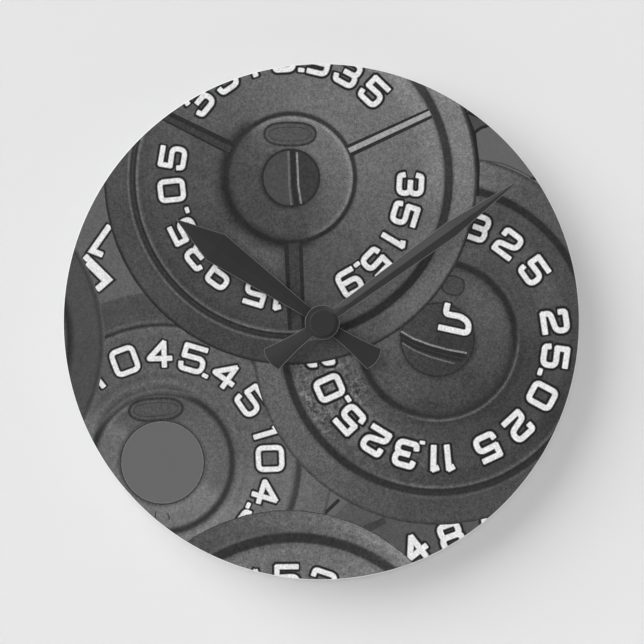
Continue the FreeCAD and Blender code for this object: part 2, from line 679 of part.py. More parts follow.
def hour_hand_collet():
    collet = fuse(*rods(HANDS, (COLLET_R, -25.0, -23.8), (4.1, -24.35, -23.8)))
    return bore(collet, HOUR_PIPE_R + 0.005, -26, -23)


def minute_hand():
    tail = hand_tail(length=25.9, corner=24.6, half=4.95, neck=2.2)
    drawing = hand(length=93.6, wide_at=62.0, half_wide=3.2, slope=0.30, tail=tail)
    slot = upright(MINUTE_TIP_R + 0.02, 6, 0, 0, -3)
    for side in (-1, 1):
        slot = slot.cut(box(side * (MINUTE_TIP_FLAT + 0.02), side * 4, -4, 4, -4, 4))
    # the pipe's flats stand along Z at rest, so the slot is turned back by the hand's angle
    slot.rotate(Vector(0, 0, 0), Vector(0, 0, 1), -MINUTE_ANGLE)
    return place_hand(drawing.cut(slot), MINUTE_ANGLE, -26.6)


def cap_nut():
    front = -28.9
    cap = bevel_rim(cyl(CAP_R, front, -27.06), front, 0.35)
    return bore(cap, MINUTE_TIP_R + 0.02, MINUTE_TIP_END - 0.05, -26)


# ---------------------------------------------------------------- write
PARTS = {build.__name__: build() for build in (
    dial_panel, printed_face, rubber_washer, brass_washer, hex_nut,
    movement_front_case, movement_rear_cover, train_plate, rear_bridge,
    hour_wheel, motion_wheel, minute_pipe, setting_pinion, setting_knob,
    centre_wheel, clutch_spring, third_wheel, seconds_wheel, intermediate_wheel,
    rotor_pinion, rotor_magnet, coil_core, coil_bobbin, coil_winding, coil_leads,
    circuit_board, quartz_crystal, chip_blob, battery_cell, battery_sleeve,
    hour_hand, hour_hand_collet, minute_hand, cap_nut)}
PARTS["stator_upper"] = stator(UPPER_STATOR)
PARTS["stator_lower"] = stator(LOWER_STATOR)
PARTS["battery_contact_positive"] = contact_strip(1, 25.38)
PARTS["battery_contact_negative"] = contact_strip(-1, 25.19)

os.makedirs("parts", exist_ok=True)
for name, shape in PARTS.items():
    if len(shape.Solids) == 1:
        shape = shape.Solids[0]
    shape.exportStep(os.path.join("parts", name + ".step"))
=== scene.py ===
"""Wall clock with a printed face, its hands' axis along Y through the origin.

The face looks toward -Y, +X is to the right as seen from the front and +Z is up.
The CAD pieces get materials here. The flat face is replaced by a printed picture of
overlapping iron plates with raised numerals, cut into one thin piece per tone.
Meshes are in metres. The picture and all texture coordinates are in millimetres.
"""
import json
import math

import bpy
import numpy as np
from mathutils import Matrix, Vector, geometry

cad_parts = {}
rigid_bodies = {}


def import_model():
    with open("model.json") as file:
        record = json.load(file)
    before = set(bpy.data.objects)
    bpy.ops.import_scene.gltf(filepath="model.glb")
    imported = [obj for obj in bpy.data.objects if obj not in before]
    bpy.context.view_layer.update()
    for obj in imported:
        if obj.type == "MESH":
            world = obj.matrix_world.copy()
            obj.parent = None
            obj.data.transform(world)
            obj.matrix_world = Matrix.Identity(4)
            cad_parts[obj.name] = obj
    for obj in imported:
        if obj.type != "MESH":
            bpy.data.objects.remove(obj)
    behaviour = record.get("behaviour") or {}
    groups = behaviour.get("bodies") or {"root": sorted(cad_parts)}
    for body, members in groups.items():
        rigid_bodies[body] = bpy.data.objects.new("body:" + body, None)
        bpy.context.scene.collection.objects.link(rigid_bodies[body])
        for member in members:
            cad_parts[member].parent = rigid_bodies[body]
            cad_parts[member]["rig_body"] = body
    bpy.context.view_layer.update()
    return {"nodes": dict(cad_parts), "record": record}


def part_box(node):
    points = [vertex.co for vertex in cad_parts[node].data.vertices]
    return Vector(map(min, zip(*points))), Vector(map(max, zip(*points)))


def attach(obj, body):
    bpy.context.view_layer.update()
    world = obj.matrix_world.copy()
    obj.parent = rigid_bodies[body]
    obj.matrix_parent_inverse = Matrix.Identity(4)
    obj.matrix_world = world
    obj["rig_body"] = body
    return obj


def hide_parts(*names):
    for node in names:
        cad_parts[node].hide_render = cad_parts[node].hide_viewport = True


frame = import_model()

scene = bpy.context.scene
nodes = frame["nodes"]

face_low, face_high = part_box("printed_face")
FACE_Y = face_low.y              # front of the printed layer
INK_DEPTH = 0.00006              # thickness of the printed pieces
FACE_RADIUS = face_high.x * 1000   # mm
BORE_RADIUS = 4.05               # mm, hole for the pipe


# ------------------------------------------------------------------ shader helpers
class Value:
    """A value inside a node tree, so that shading can be written as arithmetic."""

    def __init__(self, material, socket):
        self.material = material
        self.socket = socket

    def __add__(self, other):
        return self.material.math("ADD", self, other)

    __radd__ = __add__

    def __mul__(self, other):
        return self.material.math("MULTIPLY", self, other)

    def __sub__(self, other):
        return self.material.math("SUBTRACT", self, other)

    def __rsub__(self, other):
        return self.material.math("SUBTRACT", other, self)

    def __truediv__(self, other):
        return self.material.math("DIVIDE", self, other)


class Material:
    def __init__(self, name):
        self.data = bpy.data.materials.new(name)
        self.data.use_nodes = True
        self.tree = self.data.node_tree
        self.tree.nodes.clear()
        self.output = self.new("ShaderNodeOutputMaterial")
        self._vector = None
        self._xyz = None

    def new(self, kind, **props):
        node = self.tree.nodes.new(kind)
        for key, value in props.items():
            setattr(node, key, value)
        return node

    def put(self, socket, value):
        """Link a value or a socket, or set a number."""
        if isinstance(value, Value):
            self.tree.links.new(value.socket, socket)
        elif hasattr(value, "links"):
            self.tree.links.new(value, socket)
        else:
            socket.default_value = value

    def put_color(self, socket, color):
        self.put(socket, color + (1,) if isinstance(color, tuple) else color)

    def math(self, operation, *args, clamp=False):
        node = self.new("ShaderNodeMath", operation=operation, use_clamp=clamp)
        for socket, value in zip(node.inputs, args):
            self.put(socket, value)
        return Value(self, node.outputs[0])

    def vector(self):
        """Object coordinates in millimetres, as a vector socket."""
        if self._vector is None:
            source = self.new("ShaderNodeTexCoord")
            scale = self.new("ShaderNodeVectorMath", operation="SCALE")
            self.put(scale.inputs[0], source.outputs["Object"])
            scale.inputs["Scale"].default_value = 1000.0
            self._vector = scale.outputs[0]
        return self._vector

    def xyz(self):
        """Object coordinates in millimetres, as three values."""
        if self._xyz is None:
            split = self.new("ShaderNodeSeparateXYZ")
            self.put(split.inputs[0], self.vector())
            self._xyz = [Value(self, socket) for socket in split.outputs]
        return self._xyz

    def noise(self, scale, detail=2.0, rough=0.5, stretch=None, distortion=0.0):
        vector = self.vector()
        if stretch:
            mapping = self.new("ShaderNodeVectorMath", operation="MULTIPLY")
            self.put(mapping.inputs[0], vector)
            mapping.inputs[1].default_value = stretch
            vector = mapping.outputs[0]
        node = self.new("ShaderNodeTexNoise")
        self.put(node.inputs["Vector"], vector)
        node.inputs["Scale"].default_value = scale
        node.inputs["Detail"].default_value = detail
        node.inputs["Roughness"].default_value = rough
        node.inputs["Distortion"].default_value = distortion
        return Value(self, node.outputs["Fac"])

    def ramp(self, x, stops):
        """Piecewise curve through (position, value) stops; positions may be any numbers."""
        low, high = stops[0][0], stops[-1][0]
        factor = self.math("DIVIDE", self.math("SUBTRACT", x, low), high - low, clamp=True)
        node = self.new("ShaderNodeValToRGB")
        elements = node.color_ramp.elements
        while len(elements) < len(stops):
            elements.new(0.5)
        for element, (position, value) in zip(elements, stops):
            element.position = (position - low) / (high - low)
            element.color = (value, value, value, 1)
        self.put(node.inputs[0], factor)
        return Value(self, node.outputs["Color"])

    def step(self, x, start, end):
        """Smooth change from 0 at start to 1 at end; end may be the lower of the two."""
        node = self.new("ShaderNodeMapRange", interpolation_type="SMOOTHSTEP")
        self.put(node.inputs["Value"], x)
        node.inputs["From Min"].default_value = start
        node.inputs["From Max"].default_value = end
        return Value(self, node.outputs["Result"])

    def mix(self, factor, a, b):
        return factor * (b - a) + a

    def linear(self, tone):
        """From a display tone, 0 to 1, to a reflectance."""
        return self.math("POWER", self.math("MAXIMUM", (tone + 0.055) / 1.055, 0.0), 2.4)

    def grey(self, value):
        node = self.new("ShaderNodeCombineColor")
        for i in range(3):
            self.put(node.inputs[i], value)
        return node.outputs[0]

    def blend(self, factor, a, b):
        node = self.new("ShaderNodeMix", data_type="RGBA", blend_type="MIX")
        self.put(node.inputs["Factor"], factor)
        self.put_color(node.inputs["A"], a)
        self.put_color(node.inputs["B"], b)
        return node.outputs["Result"]

    def tint(self, base, amount, spread):
        """A colour made lighter and darker by a value round 0.5."""
        dark = tuple(max(0.0, c * (1 - spread)) for c in base)
        light = tuple(min(1.0, c * (1 + spread)) for c in base)
        return self.blend(amount, dark, light)

    def surface(self, color, rough, metallic=0.0, spec=0.5, bump=None, bump_mm=0.02, coat=0.0):
        self.bsdf = self.new("ShaderNodeBsdfPrincipled")
        inputs = self.bsdf.inputs
        self.put_color(inputs["Base Color"], color)
        self.put(inputs["Roughness"], rough)
        self.put(inputs["Metallic"], metallic)
        self.put(inputs["Specular IOR Level"], spec)
        inputs["Coat Weight"].default_value = coat
        inputs["Coat Roughness"].default_value = 0.15
        if bump is not None:
            node = self.new("ShaderNodeBump")
            node.inputs["Strength"].default_value = 1.0
            node.inputs["Distance"].default_value = bump_mm * 1e-3
            self.put(node.inputs["Height"], bump)
            self.put(inputs["Normal"], node.outputs[0])
        self.put(self.output.inputs[0], self.bsdf.outputs[0])
        return self.data


# ------------------------------------------------------------------ materials of the CAD nodes
def plastic(name, color, rough=0.5, grain=3.0, bump_mm=0.015, spread=0.12, spec=0.4):
    m = Material(name)
    fine = m.noise(grain, detail=3.0, rough=0.6)
    broad = m.noise(0.06)
    return m.surface(m.tint(color, broad * 0.6 + fine * 0.4, spread),
                     rough + (fine - 0.5) * 0.15 + (broad - 0.5) * 0.1,
                     spec=spec, bump=fine, bump_mm=bump_mm)


def brushed_metal(name, color, rough, stretch):
    m = Material(name)
    brush = m.noise(4.0, detail=3.0, rough=0.6, stretch=stretch)
    broad = m.noise(0.12)
    return m.surface(m.tint(color, broad * 0.5 + brush * 0.5, spread=0.12),
                     rough + (brush - 0.5) * 0.2 + (broad - 0.5) * 0.12,
                     metallic=1.0, bump=brush, bump_mm=0.004)


def turned_metal(name, color, axis=(0.0, 0.0), rough=0.28):
    """Metal with fine turning rings round an axis along Y."""
    m = Material(name)
    x, y, z = m.xyz()
    radius = m.math("SQRT", (x - axis[0]) * (x - axis[0]) + (z - axis[1]) * (z - axis[1]))
    rings = m.math("SINE", (radius + m.noise(0.8, detail=1.0) * 0.3) * 26.0) * 0.5 + 0.5
    along = m.math("SINE", y * 31.0) * 0.5 + 0.5
    wear = m.noise(0.7, detail=3.0, rough=0.6)
    tone = rings * 0.35 + along * 0.2 + wear * 0.45
    return m.surface(m.tint(color, tone, spread=0.16), rough + (wear - 0.5) * 0.25,
                     metallic=1.0, bump=rings + along, bump_mm=0.003)


def hand_paint(name, tone, rough, spec):
    m = Material(name)
    fleck = m.noise(5.0, detail=3.0, rough=0.6)
    broad = m.noise(0.08)
    color = m.tint((tone, tone, tone * 1.02), fleck * 0.4 + broad * 0.6, spread=0.16)
    return m.surface(color, rough + (fleck - 0.5) * 0.12, spec=spec, bump=fleck, bump_mm=0.004)


def minute_hand_paint_and_shade(name):
    """Black paint with painted shade across the tail, one side lighter than the other as if lit
    along a crease, and a painted lighter patch near the root over the shadow that the cap and hub
    cast.
    """
    m = Material(name)
    x, _, z = m.xyz()
    pointing = math.radians(35.8)
    along = x * math.cos(pointing) + z * math.sin(pointing)
    across = z * math.cos(pointing) - x * math.sin(pointing)
    fleck = m.noise(5.0, detail=3.0, rough=0.6)
    broad = m.noise(0.08)
    # painted shade: over the tail the tone runs from dark to light across it, standing in for light
    # and shade on the two sides of a crease
    tail = m.step(along, -6.0, -9.0)
    side = m.math("DIVIDE", across + 4.0, 8.0, clamp=True)
    tone = (fleck * 0.4 + broad * 0.6) * (1.0 - tail) + tail * (side * 1.5 - 0.1)
    # painted light: a lighter patch on the upper side near the root, filling in the shadow that the
    # cap and hub cast there
    root = m.step(along, 12.5, 7.5) * m.step(along, 2.0, 5.0) * m.step(across, -0.1, 0.3)
    paint = m.tint((0.0315, 0.0315, 0.032), m.math("ADD", tone, 0.0, clamp=True), spread=0.24)
    return m.surface(m.blend(root, paint, (0.048, 0.048, 0.0485)),
                     0.43 + (fleck - 0.5) * 0.12, spec=0.46, bump=fleck, bump_mm=0.004)


def acrylic(name):
    """White sheet with the faint saw and polish marks of a cut edge."""
    m = Material(name)
    x, _, z = m.xyz()
    edge = m.step(m.math("SQRT", x * x + z * z), 101.2, 101.5)
    streak = m.noise(2.0, detail=3.0, rough=0.6, stretch=(0.6, 6.0, 0.6))
    broad = m.noise(0.03)
    color = m.blend(edge, m.tint((0.80, 0.81, 0.81), broad, spread=0.03),
                    m.tint((0.86, 0.88, 0.88), streak, spread=0.05))
    return m.surface(color, 0.22 + streak * 0.14 * edge + (broad - 0.5) * 0.08,
                     spec=0.5, bump=streak, bump_mm=0.003)


def case_plastic(name, tone=0.022):
    """Black moulded plastic: fine spark texture, faint flow marks and lighter dusty patches."""
    m = Material(name)
    spark = m.noise(6.0, rough=0.7)
    flow = m.noise(0.10, detail=4.0, rough=0.55, distortion=1.2)
    dust = m.step(m.noise(0.5, detail=4.0, rough=0.7), 0.56, 0.75)
    color = m.blend(dust * 0.35, m.tint((tone, tone, tone * 1.04), flow, spread=0.25),
                    (tone * 2.2, tone * 2.2, tone * 2.2))
    return m.surface(color, 0.46 + (flow - 0.5) * 0.2 + (spark - 0.5) * 0.12,
                     spec=0.45, bump=spark, bump_mm=0.02)


def circuit_board(name):
    """Green board with lighter wavering tracks along X."""
    m = Material(name)
    z = m.xyz()[2]
    track = m.math("SINE", z * 5.2 + m.noise(0.25, detail=1.0) * 3.0)
    trace = m.step(track, 0.55, 0.75)
    mask = m.noise(1.2, detail=3.0, rough=0.6)
    color = m.blend(trace * 0.6, m.tint((0.03, 0.16, 0.06), mask, spread=0.15),
                    (0.07, 0.30, 0.12))
    return m.surface(color, 0.35 + (mask - 0.5) * 0.15, spec=0.5, bump=trace, bump_mm=0.02)


def winding(name):
    """Copper wire, its turns stacked along Z."""
    m = Material(name)
    z = m.xyz()[2]
    turns = m.math("SINE", z * 62.0 + m.noise(1.4, detail=1.0) * 2.0) * 0.5 + 0.5
    layer = m.noise(0.8, detail=3.0, rough=0.6)
    color = m.tint((0.55, 0.20, 0.07), turns * 0.6 + layer * 0.4, spread=0.35)
    return m.surface(color, 0.32, metallic=0.85, bump=turns, bump_mm=0.02)


def cell_label(name):
    """Shrink sleeve of the cell, along X: dark body, copper band at the positive end,
    two rule lines, and polarity marks on the rear side."""
    m = Material(name)
    x, y, z = m.xyz()

    def within(value, outer, inner):
        return m.step(m.math("ABSOLUTE", value), outer, inner)
    rule = (0.32, 0.22)         # half widths in mm: where the ink ends, where it is full
    arm_length = (1.75, 1.6)
    arm_width = (0.42, 0.30)
    skin = m.noise(0.9, detail=3.0, rough=0.55)
    color = m.blend(m.step(x, 11.9, 12.1), m.tint((0.030, 0.034, 0.042), skin, spread=0.2),
                    m.tint((0.56, 0.25, 0.09), skin, spread=0.12))
    lines = within(x - 10.6, *rule) + within(x + 19.0, *rule)
    color = m.blend(m.math("MINIMUM", lines, 1.0), color, (0.62, 0.60, 0.56))
    height = z + 19.6
    plus = m.math("MAXIMUM",
                  within(x - 18.0, *arm_length) * within(height, *arm_width),
                  within(x - 18.0, *arm_width) * within(height, *arm_length))
    minus = within(x + 15.0, *arm_length) * within(height, *arm_width)
    color = m.blend(m.math("MAXIMUM", plus, minus) * m.step(y, -6.0, -4.0), color,
                    (0.70, 0.70, 0.68))
    return m.surface(color, 0.24 + (skin - 0.5) * 0.12, spec=0.5, bump=skin, bump_mm=0.02,
                     coat=0.3)


slot_materials = {
    "acrylic_white": acrylic("acrylic_white"),
    "rubber": plastic("washer_rubber", (0.014, 0.014, 0.014), rough=0.75, grain=2.0,
                      bump_mm=0.03, spread=0.3, spec=0.25),
    "brass": turned_metal("nut_brass", (0.62, 0.45, 0.20)),
    "pipe_brass": turned_metal("pipe_brass", (0.68, 0.50, 0.24)),
    "case_black": case_plastic("case_black"),
    "plate_plastic": plastic("plate_plastic", (0.62, 0.60, 0.55), rough=0.5, grain=2.5,
                             bump_mm=0.012, spread=0.06),
    "wheel_plastic": plastic("wheel_plastic", (0.82, 0.80, 0.73), rough=0.42, grain=2.5,
                             bump_mm=0.01, spread=0.05),
    "knob_plastic": plastic("knob_plastic", (0.10, 0.10, 0.105), rough=0.42, grain=4.0,
                            bump_mm=0.02, spread=0.18),
    "board": circuit_board("board_green"),
    "epoxy": plastic("epoxy_black", (0.012, 0.012, 0.013), rough=0.16, grain=0.8,
                     bump_mm=0.02, spread=0.3, spec=0.5),
    "crystal_can": brushed_metal("crystal_can", (0.66, 0.66, 0.67), rough=0.26,
                                 stretch=(6, 1, 1)),
    "bobbin": plastic("bobbin_plastic", (0.76, 0.74, 0.68), rough=0.45, grain=2.5,
                      bump_mm=0.012, spread=0.06),
    "copper": winding("winding_copper"),
    "stator_steel": brushed_metal("stator_steel", (0.50, 0.50, 0.51), rough=0.34,
                                  stretch=(1, 1, 5)),
    "contact_steel": brushed_metal("contact_steel", (0.70, 0.69, 0.65), rough=0.24,
                                   stretch=(1, 1, 6)),
    "cell_steel": brushed_metal("cell_steel", (0.72, 0.72, 0.72), rough=0.22,
                                stretch=(1, 5, 5)),
    "cell_label": cell_label("cell_label"),
    "hand_black": hand_paint("hand_black", 0.026, rough=0.46, spec=0.42),
    "magnet": plastic("magnet_dark", (0.05, 0.05, 0.055), rough=0.4, grain=3.0,
                      bump_mm=0.02, spread=0.2),
}


def set_material(node, material):
    node.data.materials.clear()
    node.data.materials.append(material)


for subpart in frame["record"]["subparts"]:
    if subpart["material_slot"] in slot_materials:
        set_material(nodes[subpart["node"]], slot_materials[subpart["material_slot"]])

# the hands and the cap each have a paint of their own
set_material(nodes["hour_hand"], hand_paint("hour_hand_paint", 0.027, rough=0.5, spec=0.25))
set_material(nodes["cap_nut"], hand_paint("cap_paint", 0.0315, rough=0.46, spec=0.25))
set_material(nodes["minute_hand"], minute_hand_paint_and_shade("minute_hand_paint_and_shade"))


# ------------------------------------------------------------------ outlines, in millimetres
def polar(centre, radius, degrees):
    angle = math.radians(degrees)
    return (centre[0] + radius * math.cos(angle), centre[1] + radius * math.sin(angle))


def ring_points(centre, radius, count):
    return [polar(centre, radius, 360.0 * i / count) for i in range(count)]


def unit(start, end):
    dx, dy = end[0] - start[0], end[1] - start[1]
    length = math.hypot(dx, dy)
    return dx / length, dy / length


# end of a stroke in half widths: along the line, across the line
STROKE_END = ((0.42, 1.0), (0.66, 0.72), (0.66, -0.72), (0.42, -1.0))


def stroke(line, half, end_half=None):
    """Outline of a line with soft square ends; its half width may change to end_half."""
    last = len(line) - 1
    if end_half is None:
        end_half = half

    def direction(i):
        """Direction at a point, and how much the mitre there widens the line."""
        if not 0 < i < last:
            return unit(line[max(i - 1, 0)], line[min(i + 1, last)]), 1.0
        before, after = unit(line[i - 1], line[i]), unit(line[i], line[i + 1])
        dx, dy = before[0] + after[0], before[1] + after[1]
        length = math.hypot(dx, dy)
        return (dx / length, dy / length), min(2 / length, 1.7)

    left, right = [], []
    for i, (x, y) in enumerate(line):
        (dx, dy), mitre = direction(i)
        width = (half + (end_half - half) * i / last) * mitre
        left.append((x - dy * width, y + dx * width))
        right.append((x + dy * width, y - dx * width))

    def end(i, width):
        (dx, dy), _ = direction(i)
        x, y = line[i]
        return [(x + (dx * p - dy * q) * width, y + (dy * p + dx * q) * width)
                for p, q in STROKE_END]
    return left + end(last, end_half) + right[::-1] + end_of_start(line, direction(0)[0], half)


def end_of_start(line, along, half):
    """The soft end before the first point of a line."""
    (x, y), (dx, dy) = line[0], along
    return [(x - (dx * p - dy * q) * half, y - (dy * p + dx * q) * half)
            for p, q in STROKE_END]


def rounded(line, radius, steps=5):
    """The same line with its corners rounded."""
    points = [line[0]]
    for i in range(1, len(line) - 1):
        before, corner, after = Vector(line[i - 1]), Vector(line[i]), Vector(line[i + 1])
        back, ahead = before - corner, after - corner
        reach = min(radius, back.length * 0.49, ahead.length * 0.49)
        start = corner + back.normalized() * reach
        end = corner + ahead.normalized() * reach
        for j in range(steps + 1):
            t = j / steps
            point = start * (1 - t) ** 2 + corner * (2 * t * (1 - t)) + end * t ** 2
            points.append((point.x, point.y))
    points.append(line[-1])
    return points


# Centre lines of the square-set figures, as fractions of (half width, half height).
FIGURES = {
    "0": [[(-0.05, 1), (1, 1), (1, -1), (-0.05, -1)], [(0.05, 1), (-1, 1), (-1, -1), (0.05, -1)]],
    "1": [[(0.12, 1), (0.12, -1)], [(-0.30, 0.86), (0.12, 1)]],
    "2": [[(-1, 0.52), (-1, 1), (1, 1), (1, 0.02), (-1, -0.34), (-1, -1)], [(-1, -1), (1, -1)]],
    "3": [[(-1, 0.62), (-0.9, 1), (1, 1), (1, 0), (-0.3, 0)],
          [(-0.3, 0), (1, 0), (1, -1), (-0.9, -1), (-1, -0.62)]],
    "4": [[(0.42, -1), (0.42, 1)], [(0.42, 1), (-1, -0.36), (1.02, -0.36)]],
    "5": [[(0.95, 1), (-0.92, 1)], [(-0.92, 1), (-0.92, 0.10)],
          [(-0.92, 0.10), (1, 0.16), (1, -1), (-0.9, -1), (-1, -0.6)]],
    "8": [[(0, 0), (0.92, 0), (0.92, 1), (0, 1)], [(0, 0), (-0.92, 0), (-0.92, 1), (0, 1)],
          [(0, 0), (1, 0), (1, -1), (0, -1)], [(0, 0), (-1, 0), (-1, -1), (0, -1)]],
    "9": [[(1, 0.3), (1, 1), (-1, 1), (-1, -0.12), (1, -0.12)],
          [(1, 0.35), (1, -1), (-0.85, -1)]],
}
CORNER = 0.62            # corner radius of a figure over its half width
CORNER_OF_4 = 0.14
POINT_REACH = 0.007906   # half length of the line that draws a decimal point
POINT_SWELL = 1.25       # how much thicker than a figure's stroke the point is


def figure(character, half_width, half_height):
    """Centre lines of a figure or a decimal point."""
    if character == ".":
        return [[(0, -half_height + POINT_REACH), (0, -half_height - POINT_REACH)]]
    radius = half_width * (CORNER_OF_4 if character == "4" else CORNER)
    return [rounded([(x * half_width, y * half_height) for x, y in line], radius)
            for line in FIGURES[character]]


outlines = []     # (points, layer, piece name); where outlines overlap the highest layer shows


def draw(points, layer, piece):
    outlines.append((points, layer, piece))


def line_mark(line, half, layer, piece="print_marks_dark", end_half=None):
    draw(stroke(line, half, end_half), layer, piece)


def lettered(line, half, border, layer):
    """A pale stroke with a dark edge, both with a soft rim as ink spreads."""
    line_mark(line, half - 0.059295, layer + 3, "print_numerals")
    line_mark(line, half + 0.177885, layer + 2.6, "print_numeral_rims")
    line_mark(line, half + border, layer + 2, "print_numeral_edges")
    line_mark(line, half + border + 0.27671, layer + 1.6, "print_numeral_halos")


def numerals(text, angles, centre, radius, height, layer,
             width=0.86, weight=0.195, border=0.928955, turn=0.0):
    """Numerals set round an arc, tops outward, one per angle.

    width and weight are the figure's width and stroke as parts of its height.
    """
    half_width = (width - weight) / 2 * height
    half_height = (1 - weight) / 2 * height
    for character, angle in zip(text, angles):
        up = math.radians(angle + turn)
        middle = polar(centre, radius, angle)
        up_x, up_y = math.cos(up), math.sin(up)
        half = weight / 2 * height
        if character == ".":
            half *= POINT_SWELL
        for line in figure(character, half_width, half_height):
            placed = [(middle[0] + (x * up_y + y * up_x), middle[1] + (-x * up_x + y * up_y))
                      for x, y in line]
            lettered(placed, half, border, layer)


def circle_line(centre, radius, half, layer, piece="print_marks_dark", steps=20):
    """A closed circular line, as two halves that overlap."""
    for start in (0, 180):
        line = [polar(centre, radius, start + 180 * (i - 0.5) / steps) for i in range(steps + 2)]
        line_mark(line, half, layer, piece)


def badge(centre, half_long, half_short, turn, layer, half, field):
    """A plain sunk oval, squarer than an ellipse, with a dark rim and a line inside it."""
    turn_x, turn_y = math.cos(math.radians(turn)), math.sin(math.radians(turn))

    def oval(inset):
        points = []
        for i in range(48):
            cosine, sine = math.cos(math.radians(i * 7.5)), math.sin(math.radians(i * 7.5))
            x = (half_long - inset) * math.copysign(abs(cosine) ** 0.76, cosine)
            y = (half_short - inset) * math.copysign(abs(sine) ** 0.88, sine)
            points.append((centre[0] + (x * turn_x - y * turn_y),
                           centre[1] + (x * turn_y + y * turn_x)))
        return points
    inner = half_short * 0.40
    rings = ((-half, "print_marks_dim"), (half, field),
             (inner - half * 0.4, "print_marks_mid"), (inner + half * 0.5, field))
    for i, (inset, piece) in enumerate(rings):
        draw(oval(inset), layer + 0.6 + i * 0.1, piece)


def spoke(centre, degrees, reach, strips):
    """A rib between two radii. A strip is (half at the hub, half at the rim, shift
    sideways, layer, piece)."""
    hub, rim = polar(centre, reach[0], degrees), polar(centre, reach[1], degrees)
    nx, ny = -math.sin(math.radians(degrees)), math.cos(math.radians(degrees))
    for hub_half, rim_half, shift, layer, piece in strips:
        corners = ((hub, hub_half + shift), (rim, rim_half + shift),
                   (rim, shift - rim_half), (hub, shift - hub_half))
        draw([(x + nx * side, y + ny * side) for (x, y), side in corners], layer, piece)


# ------------------------------------------------------------------ the plates of the picture
UPPER = (-12.17524, 56.60696)       # centres, right and up of the hands' axis
RIGHT = (45.53856, -6.95728)
LOWER_LEFT = (-62.65505, -55.10482)
BOTTOM = (-13.459965, -143.33578)
LEFT = (-150.45118, -7.58976)
FAR_LEFT = (-75.107, 47.436)

# (centre, radius, points round it, layer, piece)
PLATES = (
    ((0, 0), FACE_RADIUS * 1.02, 240, 0, "print_plate_far"),
    (FAR_LEFT, 59.295, 160, 5, "print_plate_far_left"),
    ((65.2245, -130.449), 81.0365, 160, 5, "print_plate_far_low"),
    (LOWER_LEFT, 67.00335, 220, 10, "print_plate_c"),
    (LEFT, 65.2245, 220, 20, "print_plate_e"),
    (RIGHT, 72.93285, 260, 30, "print_plate_b"),
    (BOTTOM, 69.33562, 220, 25, "print_plate_d"),
    (UPPER, 73.32815, 260, 50, "print_plate_a"),
)


def draw_upper_plate():
    """The plate in front: numerals, three spokes, an oval badge and a hub with curved bars."""
    numerals("3515.935", [140.0, 124.0, 109.5, 93.5, 84.5, 76.5, 61.5, 46.0],
             UPPER, radius=47.0407, height=10.87075, layer=50, weight=0.18, border=0.86966)
    numerals("3515.9", [-3.0, -17.6, -31.0, -44.8, -52.6, -60.6],
             UPPER, radius=47.0407, height=10.6731, layer=50, weight=0.188, border=0.849895)
    numerals("15.935.05", [-96.4, -107.0, -115.6, -126.0, -139.6, -153.5, -162.8, -174.0, 170.2],
             UPPER, radius=47.0407, height=10.6731, layer=50, weight=0.175, border=0.83013)
    spoke(UPPER, 24.9, (25.2992, 60.4809), (
        (2.45086, 2.05556, 0.0, 50.5, "print_spokes_dark"),
        (1.02778, 0.98825, 0.15812, 50.8, "print_spokes_light")))
    spoke(UPPER, 153.6, (26.0898, 63.248), (
        (2.60898, 2.13462, 0.0, 50.5, "print_spokes_dark"),
        (1.26496, 0.86966, 0.55342, 50.7, "print_spokes_mid")))
    spoke(UPPER, -87.8, (25.6945, 59.6903), (
        (3.63676, 3.47864, 0.0, 50.5, "print_spokes_dark"),
        (1.9765, 1.89744, 0.07906, 50.7, "print_spokes_mid")))
    badge(polar(UPPER, 17.23508, 91.0), half_long=10.11968, half_short=4.50642, turn=0.0,
          layer=50, half=0.43483, field="print_boss")
    circle_line(UPPER, radius=11.14746, half=0.375535, layer=51)
    # upright bars in the hub hole: (half width, layer, piece, points from the hub's centre)
    bars = (
        (0.90919, 51, "print_marks_dark",
         ((0.59295, 10.2778), (0.94872, 3.5577), (1.14637, -3.1624), (2.17415, -10.2778))),
        (0.3953, 52, "print_marks_soft",
         ((-1.02778, 10.2778), (-0.7906, 3.5577), (-0.63248, -3.1624), (0.15812, -10.2778))),
        (0.375535, 52, "print_marks_light",
         ((2.3718, 9.8825), (2.68804, 3.1624), (2.92522, -3.1624), (4.03206, -9.8825))),
    )
    for half, layer, piece, points in bars:
        line_mark([(UPPER[0] + x, UPPER[1] + y) for x, y in points], half, layer, piece)


